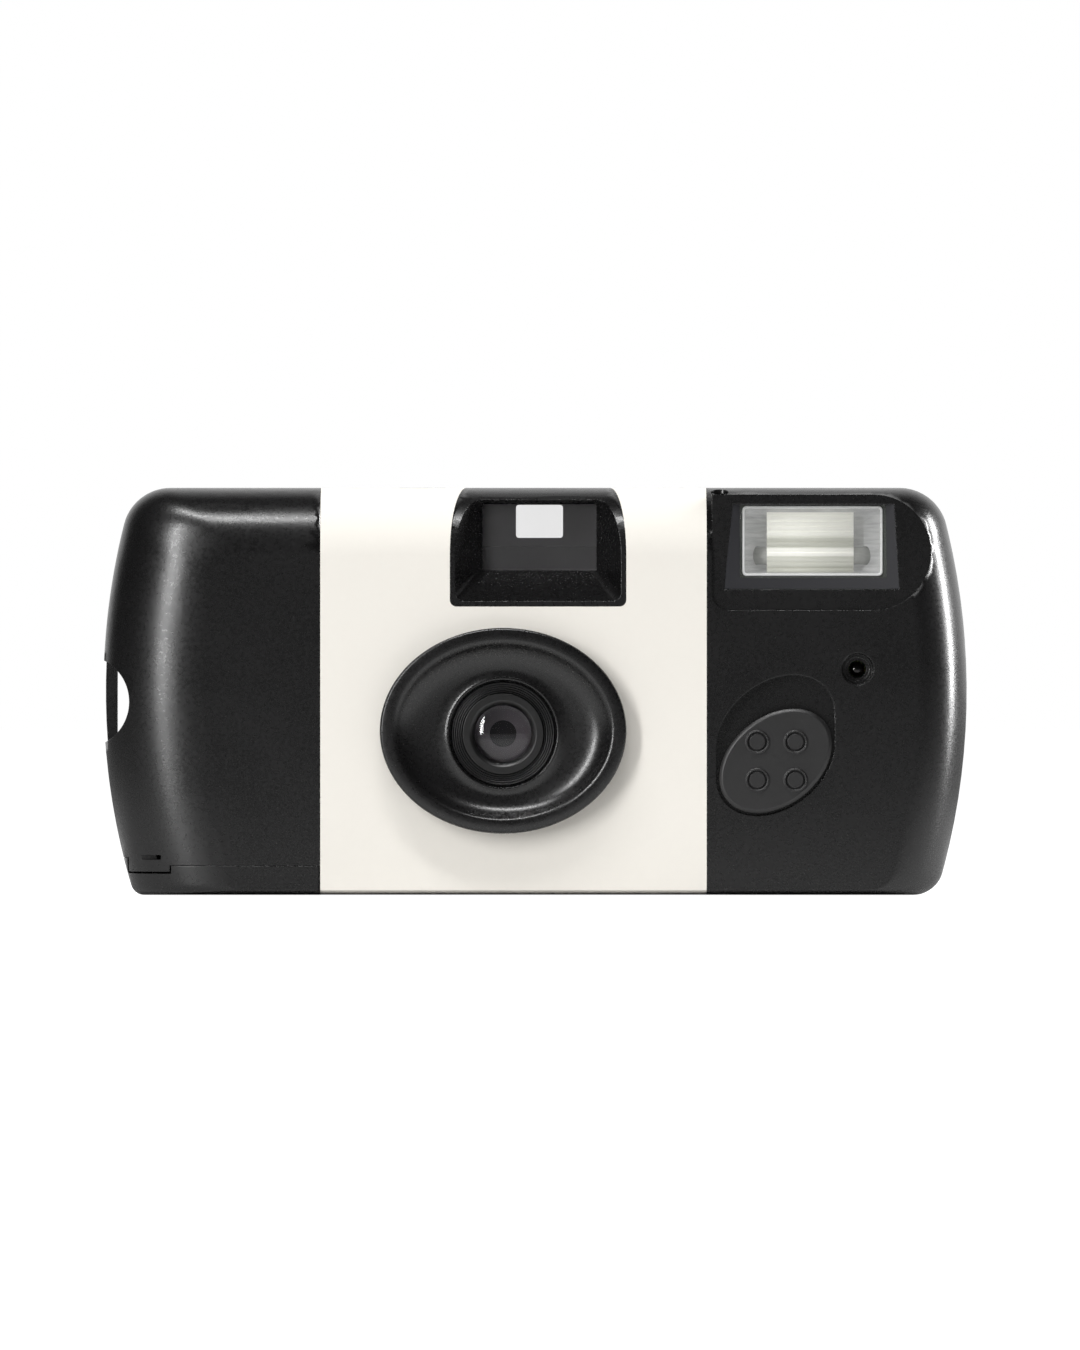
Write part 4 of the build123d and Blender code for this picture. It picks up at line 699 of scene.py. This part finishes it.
def dish_loops():
    """Ovals of the lens surround, whose centre moves from the surround's to the lens's."""
    loops = []
    for half_width, half_height, y in DISH_PROFILE:
        inward = min(1.0, max(0.0, (CENTRE_SHIFT_START - half_width) / CENTRE_SHIFT_RUN))
        centre_z = DISH_CENTRE_Z + (LENS_Z - DISH_CENTRE_Z) * inward
        turns = [2 * pi * step / DISH_STEPS for step in range(DISH_STEPS)]
        loops.append(
            [
                (LENS_X + half_width * cos(turn), y, centre_z + half_height * sin(turn))
                for turn in turns
            ]
        )
    return loops


def rim_loops():
    """The reflector's front rim: a thin raised frame with rounded corners."""
    left, right, bottom, top = RIM_SIDES
    loops = []
    for inset, y, radius in RIM_LOOPS:
        sides = (left + inset, right - inset, bottom + inset, top - inset)
        loops.append(at_depth(rounded_outline(*sides, radius), y))
    return loops


class TreeMaker:
    """A geometry tree with named inputs and one method for its nodes."""

    def __init__(self, name, **inputs):
        self.tree = bpy.data.node_groups.new(name, "GeometryNodeTree")
        self.declare("Geometry", "NodeSocketGeometry", in_out="OUTPUT")
        for label, (kind, default) in inputs.items():
            self.declare(label.replace("_", " "), kind).default_value = default
        self.declare("Finish", "NodeSocketMaterial")
        self.source = self.tree.nodes.new("NodeGroupInput")

    def declare(self, label, kind, in_out="INPUT"):
        """Add one of the tree's own sockets."""
        return self.tree.interface.new_socket(name=label, in_out=in_out, socket_type=kind)

    def size(self, label):
        """One of the tree's own inputs."""
        return self.source.outputs[label]

    def put(self, target, value):
        """Feed a socket from another or with a constant."""
        if isinstance(value, bpy.types.NodeSocket):
            self.tree.links.new(value, target)
        else:
            target.default_value = value

    def node(self, kind, output=0, **inputs):
        """Add a node, set its inputs and return one of its outputs."""
        node = self.tree.nodes.new(kind)
        for key, value in inputs.items():
            self.put(node.inputs[key.replace("_", " ")], value)
        return node.outputs[output]

    def math(self, operation, first, second):
        """The result of a math node on two numbers or sockets."""
        node = self.tree.nodes.new("ShaderNodeMath")
        node.operation = operation
        self.put(node.inputs[0], first)
        self.put(node.inputs[1], second)
        return node.outputs[0]

    def finish(self, geometry):
        """End the tree with real geometry and its material."""
        real = self.node("GeometryNodeRealizeInstances", Geometry=geometry)
        smooth = self.node("GeometryNodeSetShadeSmooth", Geometry=real)
        dressed = self.node(
            "GeometryNodeSetMaterial", Geometry=smooth, Material=self.size("Finish")
        )
        out = self.tree.nodes.new("NodeGroupOutput")
        self.tree.links.new(dressed, out.inputs[0])
        return self.tree


def ridge_tree():
    """Rings about the lens axis that step inwards down a cone."""
    maker = TreeMaker(
        "lens_ridges",
        Count=("NodeSocketInt", 10),
        Outer_radius=("NodeSocketFloat", 6.8 * MM),
        Inner_radius=("NodeSocketFloat", 4.2 * MM),
        Drop=("NodeSocketFloat", 1.0 * MM),
        Ridge=("NodeSocketFloat", 0.11 * MM),
    )
    line = maker.node("GeometryNodeMeshLine", Count=maker.size("Count"))
    last = maker.math("SUBTRACT", maker.size("Count"), 1)
    share = maker.math("DIVIDE", maker.node("GeometryNodeInputIndex"), last)
    span = maker.math("SUBTRACT", maker.size("Inner radius"), maker.size("Outer radius"))
    radius = maker.math("ADD", maker.size("Outer radius"), maker.math("MULTIPLY", share, span))
    depth = maker.math("MULTIPLY", share, maker.size("Drop"))
    place = maker.node("ShaderNodeCombineXYZ", X=0.0, Y=0.0, Z=depth)
    points = maker.node("GeometryNodeSetPosition", Geometry=line, Position=place)
    circle = maker.node("GeometryNodeCurvePrimitiveCircle", Resolution=128, Radius=1.0)
    scale = maker.node("ShaderNodeCombineXYZ", X=radius, Y=radius, Z=1.0)
    rings = maker.node("GeometryNodeInstanceOnPoints", Points=points, Instance=circle, Scale=scale)
    curves = maker.node("GeometryNodeRealizeInstances", Geometry=rings)
    bead = maker.node("GeometryNodeCurvePrimitiveCircle", Resolution=8, Radius=maker.size("Ridge"))
    beads = maker.node("GeometryNodeCurveToMesh", Curve=curves, Profile_Curve=bead)
    turned = maker.node(
        "GeometryNodeTransform",
        Geometry=beads,
        Translation=(LENS_X * MM, RIDGES_Y * MM, LENS_Z * MM),
        Rotation=(-pi / 2, 0, 0),
    )
    return maker.finish(turned)


def bar_tree():
    """Level bars, one above another, across the flash."""
    maker = TreeMaker(
        "flash_bars",
        Count=("NodeSocketInt", 12),
        Width=("NodeSocketFloat", 11.7 * MM),
        Bottom=("NodeSocketFloat", 43.8 * MM),
        Pitch=("NodeSocketFloat", 0.7 * MM),
    )
    line = maker.node("GeometryNodeMeshLine", Count=maker.size("Count"))
    rise = maker.math("MULTIPLY", maker.node("GeometryNodeInputIndex"), maker.size("Pitch"))
    height = maker.math("ADD", maker.size("Bottom"), rise)
    place = maker.node("ShaderNodeCombineXYZ", X=BARS_X * MM, Y=BARS_Y * MM, Z=height)
    points = maker.node("GeometryNodeSetPosition", Geometry=line, Position=place)
    radius = maker.math("MULTIPLY", maker.size("Pitch"), BAR_FULLNESS)
    bar = maker.node(
        "GeometryNodeMeshCylinder", Vertices=16, Radius=radius, Depth=maker.size("Width")
    )
    bars = maker.node(
        "GeometryNodeInstanceOnPoints", Points=points, Instance=bar, Rotation=(0, pi / 2, 0)
    )
    return maker.finish(bars)


def run_tree(tree, count, material):
    """Make a plain mesh from a geometry tree, and put it in the scene under the tree's name."""
    carrier = bpy.data.objects.new(tree.name, bpy.data.meshes.new(tree.name))
    bpy.context.scene.collection.objects.link(carrier)
    modifier = carrier.modifiers.new("tree", "NODES")
    modifier.node_group = tree
    sockets = {item.name: item.identifier for item in tree.interface.items_tree}
    modifier[sockets["Count"]] = count
    modifier[sockets["Finish"]] = material
    graph = bpy.context.evaluated_depsgraph_get()
    mesh = bpy.data.meshes.new_from_object(carrier.evaluated_get(graph))
    bpy.data.objects.remove(carrier)
    mesh.name = tree.name
    mesh.materials.clear()
    add_piece(tree.name, mesh, material)


class FILMCAMERA_OT_housing(bpy.types.Operator):
    """Dress the front and rear covers, the door and the inner frame."""

    bl_idname = "filmcamera.housing"
    bl_label = "Housing"

    def execute(self, context):
        looks = context.scene.camera_looks
        black = plastic(
            "black_plastic",
            looks.plastic_colour,
            looks.plastic_roughness,
            looks.grain_depth,
            looks.grain_size,
        )
        inner = plastic("inner_black_plastic", INNER_BLACK, roughness=0.55)
        front = shaded_copy("front_cover", COVER_SHARP_ANGLE, without=in_dish)
        front.data.materials.append(black)
        dress(black, "rear_cover", "film_door")
        dress(inner, "main_frame", "release_lever", "sprocket_cam")
        dish = mesh_from("lens_dish", joined(dish_loops()), DISH_SHARP_ANGLE)
        add_piece("lens_dish", dish, black)
        return {"FINISHED"}


class FILMCAMERA_OT_label(bpy.types.Operator):
    """Dress the card band, which stays bare."""

    bl_idname = "filmcamera.label"
    bl_label = "Label band"

    def execute(self, context):
        dress(card("label_card", context.scene.camera_looks.label_colour), "label_band")
        return {"FINISHED"}


class FILMCAMERA_OT_lens(bpy.types.Operator):
    """Dress the taking lens and its retainer, and ring it with ridges."""

    bl_idname = "filmcamera.lens"
    bl_label = "Lens"

    def execute(self, context):
        dress(clear("lens_glass", LENS_TINT), "taking_lens")
        retainer = plastic(
            "lens_retainer_plastic", RETAINER_BLACK, roughness=0.36, grain_depth=0.002 * MM
        )
        dress(retainer, "lens_retainer")
        ridges = context.scene.camera_looks.ridge_count
        run_tree(ridge_tree(), ridges, retainer)
        return {"FINISHED"}


class FILMCAMERA_OT_finder(bpy.types.Operator):
    """Put plane panes in the finder and a mask round its eyepiece."""

    bl_idname = "filmcamera.finder"
    bl_label = "Viewfinder"

    def execute(self, context):
        clear_pane = pane("finder_plastic", FINDER_TINT, alpha=0.05)
        slab("eyepiece_pane", EYEPIECE_CORNERS, EYEPIECE_BEVEL, clear_pane, "viewfinder_eyepiece")
        grey = plastic("finder_grey", FINDER_GREY)
        opening = rounded_outline(*MASK_OPENING)
        mask = [
            at_depth(rounded_outline(*MASK_OUTLINE), MASK_FRONT_Y),
            at_depth(opening, MASK_FRONT_Y),
            at_depth(opening, MASK_BACK_Y),
        ]
        add_piece("eyepiece_mask", trim_mesh("eyepiece_mask", mask), grey)
        low, high = ([part / MM for part in corner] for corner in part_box("viewfinder_front_lens"))
        corners = (low, (high[0], low[1] + PANE_THICKNESS, high[2]))
        slab("finder_pane", corners, PANE_BEVEL, clear_pane, "viewfinder_front_lens")
        return {"FINISHED"}


class FILMCAMERA_OT_shutter(bpy.types.Operator):
    """Dress the aperture plate, the shutter blade and the striker that knocks it open."""

    bl_idname = "filmcamera.shutter"
    bl_label = "Shutter"

    def execute(self, context):
        # The plate is lightened and tinted purple: painted reflection seen through the lens
        stop = plastic("stop_plastic_painted_reflection", STOP_GREY_PAINTED_REFLECTION, roughness=0.5, grain_depth=0.0)
        dress(stop, "aperture_plate")
        dress(metal("dark_steel", DARK_STEEL, roughness=0.4), "shutter_blade")
        steel = metal("steel", STEEL, roughness=0.28)
        dress(steel, "striker_lever", "striker_spring", "blade_spring")
        return {"FINISHED"}


class FILMCAMERA_OT_flash(bpy.types.Operator):
    """Dress the flash window, its frame, its reflector and its tube."""

    bl_idname = "filmcamera.flash"
    bl_label = "Flash"

    def execute(self, context):
        dress(pane("window_plastic", WINDOW_TINT, alpha=0.06), "flash_window")
        reflector = shaded_copy("flash_reflector").data
        reflector.materials.append(streaked_grey_painted_glow("reflector_satin_painted_glow"))
        reflector.materials.append(plastic("reflector_flange", FLANGE_GREY, roughness=0.35))
        for face in reflector.polygons:
            if face.center.y < REFLECTOR_FLANGE_Y * MM and abs(face.normal.y) > FACING_FRONT:
                face.material_index = 1
        bars = context.scene.camera_looks.bar_count
        # The bars carry the white centre's painted bright bands and painted glow
        run_tree(bar_tree(), bars, banded_white_painted_glow("flash_white_painted_glow"))
        white = plastic("rim_white", RIM_WHITE, roughness=0.3)
        rim = trim_mesh("flash_rim", rim_loops())
        add_piece("flash_rim", rim, white)
        # The frame's own plain black, a shade lighter than the housing's
        plain_black = bpy.data.materials["black_plastic"]
        slope = [at_depth(BEZEL_FRONT, BEZEL_FRONT_Y), at_depth(BEZEL_BACK, BEZEL_BACK_Y)]
        add_piece("flash_bezel", trim_mesh("flash_bezel", slope), plain_black)
        dress(pane("tube_glass", TUBE_TINT, alpha=0.6), "flash_tube")
        return {"FINISHED"}


class FILMCAMERA_OT_circuit(bpy.types.Operator):
    """Dress the flash's circuit board, its parts, the battery and the contacts."""

    bl_idname = "filmcamera.circuit"
    bl_label = "Flash circuit"

    def execute(self, context):
        dress(plastic("circuit_board", BOARD_GREEN), "circuit_board")
        sleeve = plastic("capacitor_sleeve", SLEEVE_BLACK, roughness=0.3)
        dress(sleeve, "flash_capacitor", "power_transistor")
        dress(plastic("transformer_core", CORE_GREY, roughness=0.6), "transformer")
        dress(metal("copper_winding", COPPER, roughness=0.35), "trigger_coil")
        dress(plastic("resistor_body", RESISTOR_TAN), "resistor_1", "resistor_2", "resistor_3")
        dress(plastic("battery_jacket", JACKET_GREY, roughness=0.3), "battery_cell")
        contact = metal("contact_metal", CONTACT_METAL, roughness=0.3)
        dress(contact, "negative_contact", "positive_contact", "sync_contact", "charge_contact")
        dress(clear("lamp_glass", LAMP_TINT), "ready_lamp")
        return {"FINISHED"}


class FILMCAMERA_OT_film_path(bpy.types.Operator):
    """Dress the cassette, the film and the wheels that carry it."""

    bl_idname = "filmcamera.film_path"
    bl_label = "Film and cassette"

    def execute(self, context):
        dress(metal("cassette_metal", CASSETTE_STEEL, roughness=0.35), "cassette_shell")
        caps = plastic("cassette_plastic", CAP_BLACK, roughness=0.35)
        dress(caps, "cassette_bottom_cap", "cassette_top_cap", "cassette_spool", "roll_core")
        dress(plastic("film_base", FILM_BROWN, roughness=0.2), "film_strip", "film_roll")
        dress(plastic("white_plastic", WHEEL_WHITE), "film_sprocket", "wind_pawl")
        dress(metal("spring_steel", STEEL, roughness=0.28), "pawl_spring", "button_spring")
        return {"FINISHED"}


class FILMCAMERA_OT_controls(bpy.types.Operator):
    """Dress the winding wheel, counter, shutter button and flash switch."""

    bl_idname = "filmcamera.controls"
    bl_label = "Controls"

    def execute(self, context):
        dress(plastic("wheel_plastic", WHEEL_BLACK, roughness=0.36), "thumbwheel")
        dress(plastic("dial_plastic", DIAL_WHITE), "counter_dial")
        dress(clear("counter_plastic", COUNTER_TINT), "counter_window")
        dress(plastic("button_plastic", BUTTON_BLACK, roughness=0.32), "shutter_button")
        dress(plastic("switch_plastic", SWITCH_BLACK, roughness=0.42), "flash_switch")
        dress(clear("light_pipe", PIPE_TINT), "ready_light_pipe")
        return {"FINISHED"}


class WorldGraph(Graph):
    """The world's node tree."""

    def __init__(self, name):
        self.world = bpy.data.worlds.new(name)
        self.world.use_nodes = True
        self.tree = self.world.node_tree
        self.tree.nodes.clear()
        self.output = self.tree.nodes.new("ShaderNodeOutputWorld")


def softbox(name, place, size, power):
    """A rectangular lamp that faces the object."""
    lamp = bpy.data.lights.new(name, "AREA")
    lamp.shape = "RECTANGLE"
    lamp.size, lamp.size_y = size
    lamp.energy = power
    holder = bpy.data.objects.new(name, lamp)
    holder.location = place
    aim = Vector(LAMP_AIM) - Vector(place)
    holder.rotation_euler = aim.to_track_quat("-Z", "Y").to_euler()
    bpy.context.scene.collection.objects.link(holder)


def studio_world(looks):
    """White to the camera, a white wall behind the object for gloss, and plain fill elsewhere."""
    graph = WorldGraph("studio")
    bpy.context.scene.world = graph.world
    direction = graph.node("ShaderNodeTexCoord", output="Generated")
    wall = graph.node("ShaderNodeSeparateXYZ", output="Y", Vector=direction).steps(*WHITE_WALL)
    bounced = graph.ray("Glossy").math("MAXIMUM", graph.ray("Transmission"))
    seen = graph.ray("Camera").math("MAXIMUM", bounced * wall)
    white = graph.node("ShaderNodeBackground", Color=(1, 1, 1), Strength=1.0)
    level = graph.ray("Diffuse") * looks.fill_level + looks.gloss_level
    around = graph.node("ShaderNodeBackground", Color=tuple(looks.surround), Strength=level)
    mix = graph.numbered("ShaderNodeMixShader", {0: seen, 1: around, 2: white})
    graph.put(graph.output.inputs["Surface"], mix)


def floor_white():
    """Matt floor, paler under the camera, that glows to the viewing camera only."""
    graph = Graph("floor_white")
    distance = graph.vector_math("LENGTH", "Value", graph.position())
    tint = graph.tinted(distance.steps(*SHEET_EDGE), SHEET_PALE, FLOOR_GREY)
    lit = graph.node("ShaderNodeBsdfDiffuse", Color=tint)
    glow = graph.node(
        "ShaderNodeEmission", Color=(1, 1, 1), Strength=graph.ray("Camera") * FLOOR_GLOW
    )
    both = graph.numbered("ShaderNodeAddShader", {0: lit, 1: glow})
    graph.put(graph.output.inputs["Surface"], both)
    return graph.material


class FILMCAMERA_OT_studio(bpy.types.Operator):
    """Set up the floor, world, lamps and viewing camera."""

    bl_idname = "filmcamera.studio"
    bl_label = "Studio"

    def execute(self, context):
        looks = context.scene.studio_looks
        context.scene.view_settings.view_transform = "Standard"
        studio_world(looks)
        self.floor(context.scene)
        for name, (place, size, power) in SOFTBOXES.items():
            softbox(name, place, size, power * looks.lamp_level)
        self.view(context.scene, looks)
        return {"FINISHED"}

    def floor(self, scene):
        """A wide floor just under the camera, which keeps its shadow."""
        mesh = bpy.data.meshes.new("floor")
        half = FLOOR_HALF_WIDTH
        corners = [(-half, -half), (half, -half), (half, half), (-half, half)]
        mesh.from_pydata([(x, y, FLOOR_HEIGHT) for x, y in corners], [], [(0, 1, 2, 3)])
        mesh.materials.append(floor_white())
        piece = bpy.data.objects.new("floor", mesh)
        scene.collection.objects.link(piece)

    def view(self, scene, looks):
        """A camera square on to the front cover, at the photograph's framing."""
        view = bpy.data.cameras.new("view")
        view.sensor_fit = "HORIZONTAL"
        view.sensor_width = SENSOR_WIDTH
        view.lens = SENSOR_WIDTH * looks.distance / looks.view_width
        holder = bpy.data.objects.new("view", view)
        holder.location = (VIEW_X, COVER_FRONT_Y - looks.distance, VIEW_HEIGHT)
        holder.rotation_euler = (pi / 2, 0, 0)
        scene.collection.objects.link(holder)
        scene.camera = holder


class FILMCAMERA_PT_panel(bpy.types.Panel):
    """Lists the pieces of the film camera."""

    bl_idname = "FILMCAMERA_PT_panel"
    bl_label = "Film camera"
    bl_space_type = "VIEW_3D"
    bl_region_type = "UI"
    bl_category = "Film camera"

    def draw(self, context):
        for operator in OPERATORS:
            self.layout.operator(operator.bl_idname)


OPERATORS = (
    FILMCAMERA_OT_housing,
    FILMCAMERA_OT_label,
    FILMCAMERA_OT_lens,
    FILMCAMERA_OT_finder,
    FILMCAMERA_OT_shutter,
    FILMCAMERA_OT_flash,
    FILMCAMERA_OT_circuit,
    FILMCAMERA_OT_film_path,
    FILMCAMERA_OT_controls,
    FILMCAMERA_OT_studio,
)
CLASSES = (CameraLooks, StudioLooks, *OPERATORS, FILMCAMERA_PT_panel)


def register():
    """Add the classes and their settings to Blender."""
    for kind in CLASSES:
        bpy.utils.register_class(kind)
    bpy.types.Scene.camera_looks = bpy.props.PointerProperty(type=CameraLooks)
    bpy.types.Scene.studio_looks = bpy.props.PointerProperty(type=StudioLooks)


def unregister():
    """Take the classes and their settings out of Blender."""
    del bpy.types.Scene.studio_looks
    del bpy.types.Scene.camera_looks
    for kind in reversed(CLASSES):
        bpy.utils.unregister_class(kind)


def main():
    """Build every piece."""
    register()
    for operator in OPERATORS:
        group, name = operator.bl_idname.split(".")
        getattr(getattr(bpy.ops, group), name)()


if __name__ == "__main__":
    main()
